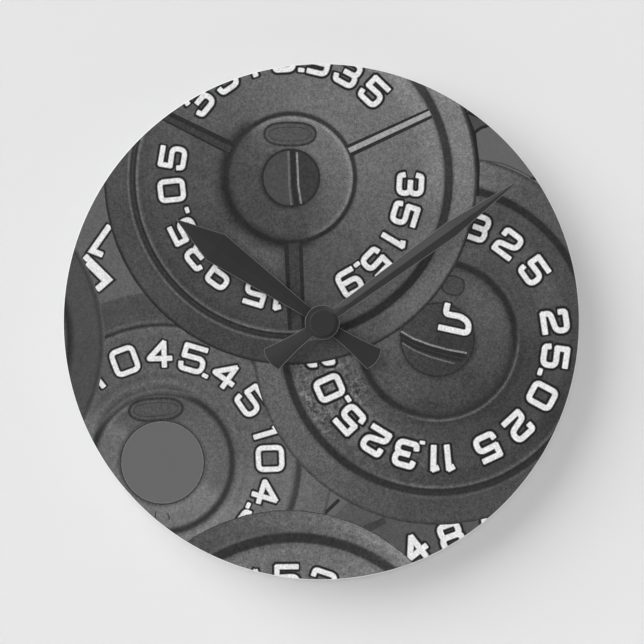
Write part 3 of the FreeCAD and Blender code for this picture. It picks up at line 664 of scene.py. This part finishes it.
def draw_right_plate():
    """Numerals, a hub ring, an oval badge, curved bars and a hooked stroke."""
    numerals("325", [70.5, 53.5, 35.5],
             RIGHT, radius=46.84305, height=10.87075, layer=30, weight=0.185)
    numerals("25.025", [8.5, -8.2, -17.4, -28.2, -47.0, -65.0],
             RIGHT, radius=46.84305, height=11.0684, layer=30, border=1.02778)
    numerals("11325.02", [-84.4, -91.4, -105.6, -121.6, -137.8, -146.6, -156.0, -173.0],
             RIGHT, radius=46.6454, height=11.0684, layer=30, border=1.02778)
    numerals(".", [-98.3],
             RIGHT, radius=45.65715, height=11.0684, layer=30, weight=0.15, border=0.71154)
    circle_line(RIGHT, radius=14.42845, half=0.256945, layer=31)
    badge(polar(RIGHT, 22.1368, 74.0), half_long=4.3483, half_short=3.71582, turn=-14.0,
          layer=30, half=0.35577, field="print_boss_b")
    # bars across the hub: (half width, layer, piece, points)
    bars = (
        (0.7906, 31, "print_marks_dark",
         ((31.14964, -4.82266), (36.3676, -7.906), (42.6924, -10.19874),
          (49.8078, -12.09618), (56.5279, -13.59832))),
        (0.63248, 31, "print_marks_dark",
         ((31.46588, -6.87822), (36.3676, -9.80344), (42.6924, -12.09618),
          (49.8078, -13.99362), (54.9467, -15.10046))),
        (0.375535, 32, "print_marks_light",
         ((31.38682, -3.79488), (36.3676, -6.64104), (42.6924, -9.01284),
          (49.8078, -10.91028), (56.84414, -12.17524))),
        (0.296475, 32, "print_marks_soft",
         ((31.86118, -8.38036), (36.3676, -11.14746), (41.9018, -13.4402),
          (47.436, -15.10046), (52.1796, -16.28636))),
    )
    for half, layer, piece, points in bars:
        line_mark(points, half, layer, piece)
    hook = ((49.4125, 6.79916), (48.58237, 3.1624), (54.9467, 2.13462),
            (57.95098, -0.47436), (57.47662, -4.50642), (46.48728, -2.13462))
    lettered(rounded(hook, radius=2.7671), half=1.087075, border=0.849895, layer=30)


def draw_lower_left_plate():
    """Numerals, an oval badge, four short ticks below the hub and a plain hub disc."""
    numerals("1045.454", [128.5, 110.3, 91.5, 73.4, 63.8, 54.2, 34.6], LOWER_LEFT,
             radius=42.49475, height=11.0684, layer=10, width=0.94, weight=0.172, border=0.75107)
    numerals("104.5", [16.0, 2.0, -16.5, -26.8, -36.5], LOWER_LEFT,
             radius=42.2971, height=11.0684, layer=10, width=0.94, weight=0.172, border=0.75107)
    badge(polar(LOWER_LEFT, 20.9509, 97.0), half_long=10.47545, half_short=4.3483, turn=4.0,
          layer=10, half=0.51389, field="print_boss_c")
    for angle, inner in ((-118.0, 19.765), (-108.0, 20.1603), (-98.0, 19.765), (-84.0, 20.1603)):
        tick = [polar(LOWER_LEFT, inner, angle), polar(LOWER_LEFT, 22.5321, angle + 1.0)]
        line_mark(tick, 0.27671, 11, "print_marks_mid")
    for radius, layer, piece in ((16.6026, 12.5, "print_marks_dim"),
                                 (16.16777, 12.8, "print_disc_rim"),
                                 (15.85153, 13, "print_disc")):
        draw(ring_points(LOWER_LEFT, radius, 120), layer, piece)


def draw_bottom_plate():
    numerals("4520.4", [107.8, 90.4, 71.5, 54.0, 44.0, 36.0], BOTTOM,
             radius=42.49475, height=11.0684, layer=25, width=0.94, weight=0.175, border=0.83013)
    circle_line(BOTTOM, radius=69.29609, half=0.19765, layer=26, piece="print_marks_mid")


def draw_background():
    """Partly covered numerals, and marks beside and behind the plates."""
    # strokes at the upper left: (half width, points)
    partial = (
        (1.06731, ((-83.64548, 37.39538), (-90.20746, 28.0663), (-86.64976, 26.64322))),
        (1.1859, ((-92.5002, 25.49685), (-83.72454, 16.76072), (-87.7566, 13.28208))),
        (1.34402, ((-91.3143, 22.9274), (-85.7801, 17.3932))),
    )
    for half, points in partial:
        lettered(points, half, border=0.75107, layer=5)
    # single figures at the lower right: (figure, place, direction of its top)
    for character, place, turn in (("4", (36.7629, -89.3378), 128.0),
                                   ("8", (50.9937, -84.39655), 110.0),
                                   ("1", (63.6433, -79.06), 98.0)):
        numerals(character, [0.0], place, radius=0.0, height=11.4637, layer=5, turn=turn)
    # short strokes near the lower edge
    line_mark([(1.38355, -75.107), (6.52245, -70.16575)], 0.67201, 6)
    line_mark([(0.0, -72.7352), (0.7906, -67.9916)], 0.23718, 6, "print_marks_mid")
    line_mark([(17.7885, -81.4318), (24.5086, -78.2694)], 1.66026, 6, "print_marks_mid",
              end_half=1.26496)
    # strokes at the upper right: (half width, layer, piece, points)
    strokes = (
        (0.75107, 50, "print_marks_black", ((55.57918, 84.43608), (59.92748, 73.72345),
                                            (61.42962, 61.50868), (61.11338, 50.04498))),
        (0.59295, 2, "print_marks_black", ((59.53218, 74.00016), (62.4574, 76.2929),
                                           (65.93604, 77.39974))),
        (0.55342, 2, "print_marks_black", ((57.7138, 82.2224), (61.6668, 80.6412))),
        (0.177885, 32, "print_marks_mid", ((64.35484, 63.48518), (70.99588, 62.37834),
                                           (78.19034, 59.37406), (82.93394, 56.60696))),
        (0.51389, 32, "print_marks_black", ((82.42005, 56.76508), (84.04078, 56.21166))),
    )
    for half, layer, piece, points in strokes:
        line_mark(points, half, layer, piece)
    # shaded patch above those strokes
    draw([(54.5514, 85.3848), (59.53218, 74.00016), (62.4574, 76.2929), (65.93604, 77.39974),
          (75.107, 79.06), (63.248, 90.919)], 0.5, "print_plate_shade")


for centre, radius, count, layer, piece in PLATES:
    draw(ring_points(centre, radius, count), layer, piece)
draw_upper_plate()
draw_right_plate()
draw_lower_left_plate()
draw_bottom_plate()
draw_background()


# ------------------------------------------------------------------ one flat layer cut into pieces
def inside(points, outline):
    """Which points lie within a closed outline, counting where it overlaps itself as filled."""
    px, py = points[:, 0], points[:, 1]
    winding_number = np.zeros(len(points), int)
    following = np.roll(outline, -1, axis=0)
    for (ax, ay), (bx, by) in zip(outline, following):
        side = (bx - ax) * (py - ay) - (px - ax) * (by - ay)
        winding_number += ((ay <= py) & (by > py) & (side > 0)).astype(int)
        winding_number -= ((ay > py) & (by <= py) & (side < 0)).astype(int)
    return winding_number != 0


def triangulate():
    """Triangles between all outlines: the points, and three indices for each triangle."""
    coords, edges = [], []
    borders = [ring_points((0, 0), FACE_RADIUS, 288), ring_points((0, 0), BORE_RADIUS, 48)]
    for points in [points for points, _, _ in outlines] + borders:
        base = len(coords)
        coords.extend(Vector(point) for point in points)
        edges.extend((base + i, base + (i + 1) % len(points)) for i in range(len(points)))
    points, _, faces, _, _, _ = geometry.delaunay_2d_cdt(coords, edges, [], 0, 1e-5, False)
    return points, np.array([face for face in faces if len(face) == 3])


def sort_triangles(points, triangles):
    """Triangles of each piece: the highest outline over a triangle's middle takes it."""
    flat = np.array([(point.x, point.y) for point in points])
    middle = flat[triangles].mean(axis=1)
    reach = np.hypot(middle[:, 0], middle[:, 1])
    owner = np.full(len(triangles), -1)
    rank = np.full(len(triangles), -1e9)
    for i, (shape, layer, _) in enumerate(outlines):
        outline = np.array(shape)
        within_box = ((middle > outline.min(0)) & (middle < outline.max(0))).all(axis=1)
        candidates = np.nonzero(within_box & (rank < layer))[0]
        hit = candidates[inside(middle[candidates], outline)]
        owner[hit] = i
        rank[hit] = layer
    keep = (reach < FACE_RADIUS) & (reach > BORE_RADIUS) & (owner >= 0)
    groups = {}
    for triangle, i in zip(triangles[keep].tolist(), owner[keep].tolist()):
        groups.setdefault(outlines[i][2], []).append(triangle)
    return groups


def add_mesh(name, vertices, faces):
    mesh = bpy.data.meshes.new(name)
    mesh.from_pydata(vertices, [], faces)
    mesh.validate()
    mesh.update()
    piece = bpy.data.objects.new(name, mesh)
    scene.collection.objects.link(piece)
    return piece


def print_piece(name, points, triangles):
    """A thin closed sheet over the given triangles."""
    index, used, front = {}, [], []
    for triangle in triangles:
        for i in triangle:
            if i not in index:
                index[i] = len(used)
                used.append(points[i])
        face = [index[i] for i in triangle]
        corners = [used[i] for i in face]
        area = sum(a.x * b.y - b.x * a.y for a, b in zip(corners, corners[1:] + corners[:1]))
        front.append(face if area > 0 else face[::-1])
    count = len(used)
    vertices = [(p.x / 1000, y, p.y / 1000) for y in (FACE_Y, FACE_Y + INK_DEPTH) for p in used]
    edges = dict.fromkeys((face[k], face[(k + 1) % 3]) for face in front for k in range(3))
    back = [[i + count for i in reversed(face)] for face in front]
    walls = [[b, a, a + count, b + count] for a, b in edges if (b, a) not in edges]
    return add_mesh(name, vertices, front + back + walls)


cut_points, cut_triangles = triangulate()
prints = {name: print_piece(name, cut_points, group)
          for name, group in sorted(sort_triangles(cut_points, cut_triangles).items())}


# ------------------------------------------------------------------ tones of the print
# Tones are display tones from 0 to 255, radii are in millimetres from a plate's centre.
def tone_grain(m, amount):
    """Cast-iron grain as print shows it: fine specks over soft blotches, and short scuffs."""
    blotch = (m.noise(0.85, detail=4.0, rough=0.66) - 0.5) * 1.20
    fine = (m.noise(2.0, rough=0.65) - 0.5) * 1.45
    broad = (m.noise(0.13, detail=3.0, rough=0.55, distortion=0.6) - 0.5) * 0.28
    scuff = m.step(m.noise(0.9, stretch=(0.35, 1.0, 1.6), distortion=1.5), 0.66, 0.78) * 0.18
    return (blotch + fine + broad + scuff) * amount


def finish_print(m, tone):
    soft = m.noise(0.7)
    return m.surface(m.grey(m.linear(tone)), 0.42 + (soft - 0.5) * 0.10, spec=0.12,
                     bump=soft, bump_mm=0.002)


AREA_EDGE = 1.1859      # half width of the soft edge of an area, in radius


def plate(name, centre, curve, side_curve=None, sector=None, swing=None, grain=0.5,
          finish=None, groove_shift=(0.0, 0.0), patches=(), pitted=()):
    """Print of a plate whose tone follows curve, a list of (radius, tone).

    side_curve is used within sector: (direction, half width, softness), in degrees.
    swing is (strength, direction of the light side). patches are lighter or darker areas
    and pitted are coarser ones: (inner radius, outer radius, direction, half width, amount).
    groove_shift moves the centre of the curve. finish makes a last change to the tone.
    """
    m = Material(name)
    face_x, _, face_z = m.xyz()
    x, z = face_x - centre[0], face_z - centre[1]
    groove_x, groove_z = x - groove_shift[0], z - groove_shift[1]
    groove_radius = m.math("SQRT", groove_x * groove_x + groove_z * groove_z)

    def tone_curve(stops):
        return m.ramp(groove_radius, [(position, tone / 255.0) for position, tone in stops])
    if side_curve or swing or patches or pitted:
        radius = m.math("SQRT", x * x + z * z)
        safe = m.math("MAXIMUM", radius, 0.01)
        cosine, sine = x / safe, z / safe

    def toward(degrees):
        angle = math.radians(degrees)
        return cosine * math.cos(angle) + sine * math.sin(angle)

    def facing(degrees, outer, inner):
        return m.step(toward(degrees), math.cos(math.radians(outer)),
                      math.cos(math.radians(inner)))

    def area(inner, outer, degrees, half):
        return (facing(degrees, min(half + 12, 179), max(half - 10, 0))
                * m.step(radius, inner - AREA_EDGE, inner + AREA_EDGE)
                * m.step(radius, outer + AREA_EDGE, outer - AREA_EDGE))
    tone = tone_curve(curve)
    if side_curve:
        degrees, half, soft = sector
        tone = m.mix(facing(degrees, half + soft, max(half - soft, 0)), tone,
                     tone_curve(side_curve))
    if swing:
        strength, degrees = swing
        tone = tone * (toward(degrees) * strength + 1.0)
    for *where, gain in patches:
        tone = tone * (area(*where) * gain + 1.0)
    grained = tone_grain(m, grain)
    for *where, amount in pitted:
        pits = m.noise(0.62, detail=3.0, rough=0.6, distortion=0.8)
        grained = grained + area(*where) * ((pits - 0.5) * amount)
    tone = tone * (grained + 1.0)
    if finish:
        tone = finish(m, tone, x, radius)
    return finish_print(m, tone)


def split_hub(m, tone, x, radius):
    """Hub hole of the upper plate, lighter to the left and darker to the right."""
    within = m.step(radius, 10.91028, 10.59404)
    hole = m.mix(m.step(x, -1.6, 2.4), 76 / 255, 60 / 255)
    return m.mix(within, tone, hole + (m.noise(0.8) - 0.5) * 0.12)


UPPER_CURVE = [
    (0, 62), (10.6731, 62), (11.14746, 44), (11.859, 76.4), (13.4402, 86), (19.765, 89.8),
    (22.5321, 93.6), (23.55988, 112), (24.1133, 104), (24.66672, 46), (25.6945, 44),
    (26.32698, 82), (26.8804, 91), (30.8334, 91), (43.483, 91), (55.342, 93), (59.6903, 96),
    (60.32278, 80), (60.8762, 50), (63.48518, 48), (64.0386, 90), (64.8292, 103),
    (67.9916, 104), (71.9446, 102), (72.57708, 58), (73.5258, 40)]
UPPER_SIDE_CURVE = [
    (0, 62), (10.6731, 62), (11.14746, 50), (11.859, 71.4), (13.0449, 86.5), (19.765, 86.5),
    (22.5321, 82.7), (23.91565, 77.1), (24.74578, 54), (26.0898, 50), (27.2757, 62),
    (28.65925, 84), (31.624, 96.9), (43.483, 94.9), (55.342, 92.8), (58.8997, 83.6),
    (59.6903, 94), (60.55996, 132), (61.2715, 44), (62.0621, 76), (63.01082, 58),
    (63.88048, 128), (64.67108, 90), (66.0151, 97), (71.9446, 97), (72.89332, 58),
    (73.5258, 46)]
RIGHT_CURVE = [
    (0, 60), (13.4402, 64), (14.6261, 62), (15.812, 80), (23.718, 84), (27.671, 80),
    (29.05455, 68), (29.84515, 46), (31.42635, 46), (32.61225, 82), (35.577, 89),
    (51.389, 88), (57.7138, 89), (58.74158, 78), (59.295, 48), (61.6668, 48), (62.25975, 80),
    (63.248, 87.1), (67.9916, 85.3), (71.5493, 85.3), (72.3399, 70), (73.5258, 50)]
RIGHT_SIDE_CURVE = [
    (0, 60), (13.4402, 64), (14.6261, 62), (16.2073, 78), (23.718, 74), (27.671, 68),
    (29.44985, 60), (30.24045, 50), (31.07058, 60), (31.86118, 108), (32.65178, 64),
    (35.577, 76.2), (51.389, 79.7), (56.9232, 79.7), (58.30675, 110), (59.09735, 46),
    (60.28325, 54), (61.07385, 50), (62.0621, 90), (63.248, 73.7), (67.9916, 74.7),
    (71.5493, 74.7), (72.41896, 64), (73.5258, 50)]
LOWER_LEFT_CURVE = [
    (0, 104), (15.812, 104), (16.36542, 64), (17.07696, 84), (18.1838, 93.6),
    (22.9274, 89.8), (25.2992, 90.7), (26.0898, 78), (26.99899, 50), (27.94771, 52),
    (29.05455, 90), (30.8334, 102.9), (32.4146, 96.6), (34.7864, 102.9), (41.1112, 97.7),
    (50.5984, 101.9), (51.7843, 94), (53.04926, 60), (54.23516, 58), (55.14435, 96),
    (59.295, 96), (65.6198, 90), (66.60805, 76), (67.201, 56)]
LOWER_LEFT_SIDE_CURVE = [
    (0, 104), (15.812, 104), (16.36542, 84), (17.23508, 72), (18.1838, 80), (22.9274, 76),
    (24.5086, 74), (25.6945, 94), (26.68275, 66), (28.26395, 100), (29.2522, 78),
    (31.624, 103.2), (33.9958, 85.6), (36.3676, 96.5), (41.1112, 92.1), (50.5984, 92.1),
    (52.9702, 100), (53.99798, 46), (55.14435, 88), (55.7373, 94), (56.5279, 80),
    (63.248, 77), (66.4104, 82), (67.201, 92)]
BOTTOM_CURVE = [
    (0, 95.5), (43.483, 101.2), (59.295, 103.1), (61.46915, 91.7), (62.25975, 48),
    (65.30356, 48), (66.21275, 86), (70.3634, 93.6), (79.06, 93.6)]
LEFT_CURVE = [
    (0, 76.4), (49.8078, 82.1), (51.19135, 42), (52.37725, 58), (53.7608, 76.4),
    (62.4574, 76.4), (63.84095, 62), (64.63155, 78), (65.2245, 92)]
BACKGROUND = (59.295, 23.718)       # centre of the even background tones

print_materials = {
    "print_plate_a": plate(
        "print_plate_a", UPPER, UPPER_CURVE, UPPER_SIDE_CURVE, sector=(-152.5, 80.0, 10.0),
        swing=(0.22, 48.0), grain=0.56, finish=split_hub,
        patches=((11.859, 22.9274, 228, 40, 0.08), (26.0898, 41.1112, 243, 14, 0.20),
                 (26.0898, 41.1112, 150, 24, -0.06), (52.1796, 59.6903, 25, 34, 0.11),
                 (52.1796, 59.6903, 312, 22, 0.10), (64.8292, 72.3399, 268, 34, -0.13),
                 (64.8292, 72.3399, 180, 18, -0.06)),
        pitted=((26.0898, 59.6903, 205, 40, 0.45), (11.859, 22.9274, 200, 90, 0.4))),
    "print_plate_b": plate(
        "print_plate_b", RIGHT, RIGHT_CURVE, RIGHT_SIDE_CURVE, sector=(-56.0, 56.0, 16.0),
        swing=(0.07, 150.0), grain=0.6,
        patches=((38.7394, 52.9702, 206, 22, 0.10), (52.9702, 59.295, 195, 11, 0.11),
                 (38.7394, 52.9702, 246, 24, 0.06), (32.4146, 38.7394, 224, 18, -0.08),
                 (52.9702, 58.5044, 238, 20, -0.06), (15.812, 28.4616, 8, 44, 0.09),
                 (33.2052, 41.1112, 0, 62, -0.10), (51.389, 58.5044, 8, 50, -0.12),
                 (51.389, 58.5044, 300, 34, -0.11), (62.4574, 72.3399, 208, 24, 0.08),
                 (62.4574, 72.3399, 84, 14, 0.20), (62.4574, 72.3399, 280, 34, 0.06)),
        pitted=((33.2052, 58.5044, 196, 20, 1.5), (33.2052, 58.5044, 236, 30, 0.7),
                (15.812, 28.4616, 250, 60, 0.6))),
    "print_plate_c": plate(
        "print_plate_c", LOWER_LEFT, LOWER_LEFT_CURVE, LOWER_LEFT_SIDE_CURVE,
        sector=(108.0, 36.0, 14.0), swing=(0.07, -10.0), grain=0.46,
        patches=((16.9979, 26.0898, 236, 96, 0.22), (16.9979, 26.0898, 130, 14, 0.22),
                 (28.8569, 51.7843, 236, 92, 0.14), (28.8569, 51.7843, 34, 34, -0.10)),
        pitted=((28.8569, 59.295, 60, 60, 0.5),)),
    "print_plate_d": plate(
        "print_plate_d", BOTTOM, BOTTOM_CURVE, swing=(0.36, 8.0),
        groove_shift=(2.45086, -5.29702),
        patches=((39.53, 61.2715, 122, 16, 0.16), (39.53, 61.2715, 64, 18, -0.08),
                 (65.2245, 70.3634, 46, 20, 0.10)),
        pitted=((39.53, 69.5728, 80, 60, 0.6),)),
    "print_plate_e": plate("print_plate_e", LEFT, LEFT_CURVE, grain=0.34),
    "print_plate_far": plate("print_plate_far", BACKGROUND, [(0, 100), (158.12, 100)],
                             grain=0.12),
    "print_plate_shade": plate("print_plate_shade", BACKGROUND, [(0, 76), (158.12, 76)],
                               grain=0.2),
    "print_plate_far_left": plate("print_plate_far_left", FAR_LEFT,
                                  [(0, 97), (55.342, 97), (59.295, 90)], grain=0.3),
    "print_plate_far_low": plate("print_plate_far_low", (81.0365, -130.449),
                                 [(0, 88), (51.389, 86), (79.06, 84), (102.778, 88)],
                                 grain=0.35),
}

# (piece, tone, grain)
FLAT_PRINTS = (
    ("print_numerals", 230, 0.28), ("print_numeral_rims", 150, 0.4),
    ("print_numeral_halos", 62, 0.5), ("print_numeral_edges", 34, 0.5),
    ("print_marks_black", 38, 0.4), ("print_marks_dark", 46, 0.5),
    ("print_marks_dim", 56, 0.6), ("print_marks_mid", 66, 0.5),
    ("print_marks_soft", 104, 0.5), ("print_marks_light", 136, 0.5),
    ("print_spokes_dark", 46, 0.5), ("print_spokes_mid", 64, 0.6),
    ("print_spokes_light", 160, 0.4), ("print_disc", 103.6, 0.012),
    ("print_disc_rim", 118, 0.3), ("print_boss", 84, 0.5),
    ("print_boss_b", 74, 0.5), ("print_boss_c", 82, 0.5),
)
for name, tone, grain in FLAT_PRINTS:
    flat = Material(name)
    print_materials[name] = finish_print(flat, (tone_grain(flat, grain) + 1.0) * (tone / 255.0))

for name, piece in prints.items():
    piece.data.materials.append(print_materials[name])
    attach(piece, "clock_body")
    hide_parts("printed_face")


# ------------------------------------------------------------------ edge beads of hands and cap, lighter grey as painted highlight
PROBE = 0.00012         # how far outside an edge to look for other faces


def outline_runs(node):
    """The outline of a node as seen from the front, as open or closed runs of points."""
    mesh = node.data
    index = {}      # place in micrometres to its number, so that doubled vertices are joined
    where = [index.setdefault(tuple(round(c * 1e6) for c in vertex.co), len(index))
             for vertex in mesh.vertices]
    point = {i: Vector([c / 1e6 for c in key]) for key, i in index.items()}
    triangles, opposite = [], {}
    mesh.calc_loop_triangles()
    for triangle in mesh.loop_triangles:
        corners = [where[i] for i in triangle.vertices]
        if triangle.normal.y < -0.5 and len(set(corners)) == 3:
            triangles.append(corners)
            for k in range(3):
                opposite[(corners[k], corners[(k + 1) % 3])] = corners[(k + 2) % 3]
    flat = np.array([[(point[i].x, point[i].z) for i in corners] for corners in triangles])

    def covered(x, z):
        sides = []
        for k in range(3):
            a, b = flat[:, k], flat[:, (k + 1) % 3]
            sides.append((b[:, 0] - a[:, 0]) * (z - a[:, 1]) - (b[:, 1] - a[:, 1]) * (x - a[:, 0]))
        sides = np.array(sides)
        return bool(((sides >= 0).all(0) | (sides <= 0).all(0)).any())

    follow = {}
    for (a, b), third in opposite.items():
        if (b, a) in opposite:
            continue
        start, end, inner = point[a], point[b], point[third]
        along = Vector((end.x - start.x, end.z - start.z))
        if along.length < 1e-9:
            continue
        outward = Vector((along.y, -along.x)).normalized()
        if outward.dot(Vector((inner.x - start.x, inner.z - start.z))) > 0:
            outward = -outward
        middle = (start + end) / 2
        if not covered(middle.x + outward.x * PROBE, middle.z + outward.y * PROBE):
            follow[a] = b
    runs = []
    # open runs first, from their starts, then the closed ones
    for head in sorted(set(follow) - set(follow.values())) + sorted(follow):
        run = [head]
        while run[-1] in follow:
            run.append(follow.pop(run[-1]))
        if len(run) > 1:
            runs.append([point[i] for i in run])
    return runs


def bead(name, node, radius, material, least_reach):
    """A fine rounded lip along the outline of a node's front, where the outline goes
    at least least_reach from the axis."""
    vertices, faces, sides = [], [], 6
    for run in outline_runs(node):
        if max(math.hypot(p.x, p.z) for p in run) < least_reach:
            continue
        closed = (run[0] - run[-1]).length < 1e-7
        points = []
        for p in (run[:-1] if closed else run):
            if not points or (p - points[-1]).length > 0.0001:
                points.append(p)
        count, base = len(points), len(vertices)
        if count < 2 or sum((b - a).length for a, b in zip(points, points[1:])) < 0.0006:
            continue
        for i in range(count):
            if closed:
                along = points[(i + 1) % count] - points[i - 1]
            else:
                along = points[min(i + 1, count - 1)] - points[max(i - 1, 0)]
            across = Vector((along.z, 0.0, -along.x)).normalized()
            for k in range(sides):
                angle = 2 * math.pi * k / sides
                vertices.append(points[i] + across * (radius * math.cos(angle))
                                + Vector((0.0, -1.0, 0.0)) * (radius * 0.8 * math.sin(angle)))
        for i in range(count if closed else count - 1):
            here, ahead = base + i * sides, base + (i + 1) % count * sides
            for k in range(sides):
                turn = (k + 1) % sides
                faces.append((here + k, ahead + k, ahead + turn, here + turn))
        if not closed:
            faces.append(tuple(base + k for k in range(sides)))
            faces.append(tuple(base + (count - 1) * sides + k for k in reversed(range(sides))))
    piece = add_mesh(name, [tuple(v) for v in vertices], faces)
    for polygon in piece.data.polygons:
        polygon.use_smooth = len(polygon.vertices) == 4
    piece.data.materials.append(material)
    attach(piece, node["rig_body"])


# painted highlight: the beads are a lighter grey than the black paint, standing in for light caught
# along the edges; the rounded lip also catches the lamps
hand_edge = plastic("hand_edge_painted_highlight", (0.15, 0.15, 0.15), rough=0.5, grain=5.0,
                    bump_mm=0.004, spread=0.25, spec=0.5)
cap_edge = plastic("cap_edge_painted_highlight", (0.062, 0.062, 0.063), rough=0.5, grain=5.0,
                   bump_mm=0.004, spread=0.25, spec=0.4)
for name, node, radius, material, least_reach in (
        ("minute_hand_edge", "minute_hand", 0.00012, hand_edge, 0.004),
        ("hour_hand_edge", "hour_hand", 0.00012, hand_edge, 0.004),
        ("cap_edge", "cap_nut", 0.00013, cap_edge, 0.003)):
    bead(name, nodes[node], radius, material, least_reach)


# ------------------------------------------------------------------ wall and floor
def one_sided(name, tone):
    """A plain pale surface seen from its front only, so the clock's back can be looked at."""
    m = Material(name)
    facing = m.new("ShaderNodeNewGeometry")
    path = m.new("ShaderNodeLightPath")
    m.surface(m.tint((tone, tone, tone), m.noise(0.02), spread=0.004), 0.95, spec=0.0)
    clear = m.new("ShaderNodeBsdfTransparent")
    mixer = m.new("ShaderNodeMixShader")
    seen = m.math("LESS_THAN", path.outputs["Ray Depth"], 0.5)
    lit = m.math("LESS_THAN", path.outputs["Ray Depth"], 1.5)
    behind = Value(m, facing.outputs["Backfacing"]) * seen
    shadow = Value(m, path.outputs["Is Shadow Ray"]) * lit
    m.put(mixer.inputs[0], m.math("MAXIMUM", behind, shadow))
    m.put(mixer.inputs[1], m.bsdf.outputs[0])
    m.put(mixer.inputs[2], clear.outputs[0])
    m.put(m.output.inputs[0], mixer.outputs[0])
    return m.data


def sheet(name, corners, material):
    mesh = bpy.data.meshes.new(name)
    mesh.from_pydata(corners, [], [(0, 1, 2, 3)])
    piece = bpy.data.objects.new(name, mesh)
    scene.collection.objects.link(piece)
    mesh.materials.append(material)


WALL_Y = 0.0002
REACH = 3.0             # of the wall to each side and upward
FLOOR_Z = -1.0
FLOOR_FRONT = -1.4
sheet("wall", [(-REACH, WALL_Y, FLOOR_Z), (REACH, WALL_Y, FLOOR_Z),
               (REACH, WALL_Y, REACH), (-REACH, WALL_Y, REACH)], one_sided("wall_paint", 0.80))
sheet("floor", [(-REACH, FLOOR_FRONT, FLOOR_Z), (REACH, FLOOR_FRONT, FLOOR_Z),
                (REACH, WALL_Y, FLOOR_Z), (-REACH, WALL_Y, FLOOR_Z)],
      one_sided("floor_paint", 0.78))


# ------------------------------------------------------------------ lights
def sun(name, toward, strength, angle, glossy=True):
    light = bpy.data.lights.new(name, "SUN")
    light.energy = strength
    light.angle = math.radians(angle)
    lamp = bpy.data.objects.new(name, light)
    lamp.visible_glossy = glossy
    scene.collection.objects.link(lamp)
    lamp.rotation_euler = Vector(toward).to_track_quat("Z", "Y").to_euler()


def from_wall(tilt, turn):
    """Direction tilt degrees off the wall's normal, towards turn degrees from +X to +Z."""
    tilt, turn = math.radians(tilt), math.radians(turn)
    return (math.sin(tilt) * math.cos(turn), -math.cos(tilt), math.sin(tilt) * math.sin(turn))


sun("key", from_wall(tilt=53.0, turn=146.0), strength=2.10, angle=52.0)
sun("fill", from_wall(tilt=4.0, turn=120.0), strength=0.945, angle=12.0, glossy=False)
sun("rear_key", (0.45, 0.75, 0.55), strength=1.4, angle=30.0)
sun("rear_fill", (-0.6, 0.75, -0.1), strength=0.7, angle=40.0)


def build_world():
    """White surroundings, brighter to the camera than as a light."""
    world = bpy.data.worlds.new("studio")
    scene.world = world
    world.use_nodes = True
    tree = world.node_tree
    tree.nodes.clear()
    output = tree.nodes.new("ShaderNodeOutputWorld")
    background = tree.nodes.new("ShaderNodeBackground")
    path = tree.nodes.new("ShaderNodeLightPath")
    strength = tree.nodes.new("ShaderNodeMapRange")
    strength.inputs["To Min"].default_value = 0.22
    strength.inputs["To Max"].default_value = 0.80
    tree.links.new(path.outputs["Is Camera Ray"], strength.inputs["Value"])
    background.inputs["Color"].default_value = (1, 1, 1, 1)
    tree.links.new(strength.outputs["Result"], background.inputs["Strength"])
    tree.links.new(background.outputs[0], output.inputs[0])


build_world()
scene.view_settings.view_transform = "Standard"

# ------------------------------------------------------------------ camera
DISTANCE = 1.6
SPAN = 0.25297          # width seen at the printed face
SENSOR = 36.0           # mm
AIM = Vector((0.000059295, FACE_Y, 0.000035577))
lens = bpy.data.cameras.new("camera")
camera = bpy.data.objects.new("camera", lens)
scene.collection.objects.link(camera)
scene.camera = camera
lens.sensor_width = SENSOR
lens.lens = SENSOR * DISTANCE / SPAN
lens.clip_start = 0.01
lens.clip_end = 50.0
camera.location = AIM + Vector((-0.050, -DISTANCE, 0.033))
camera.rotation_euler = (AIM - camera.location).to_track_quat("-Z", "Y").to_euler()
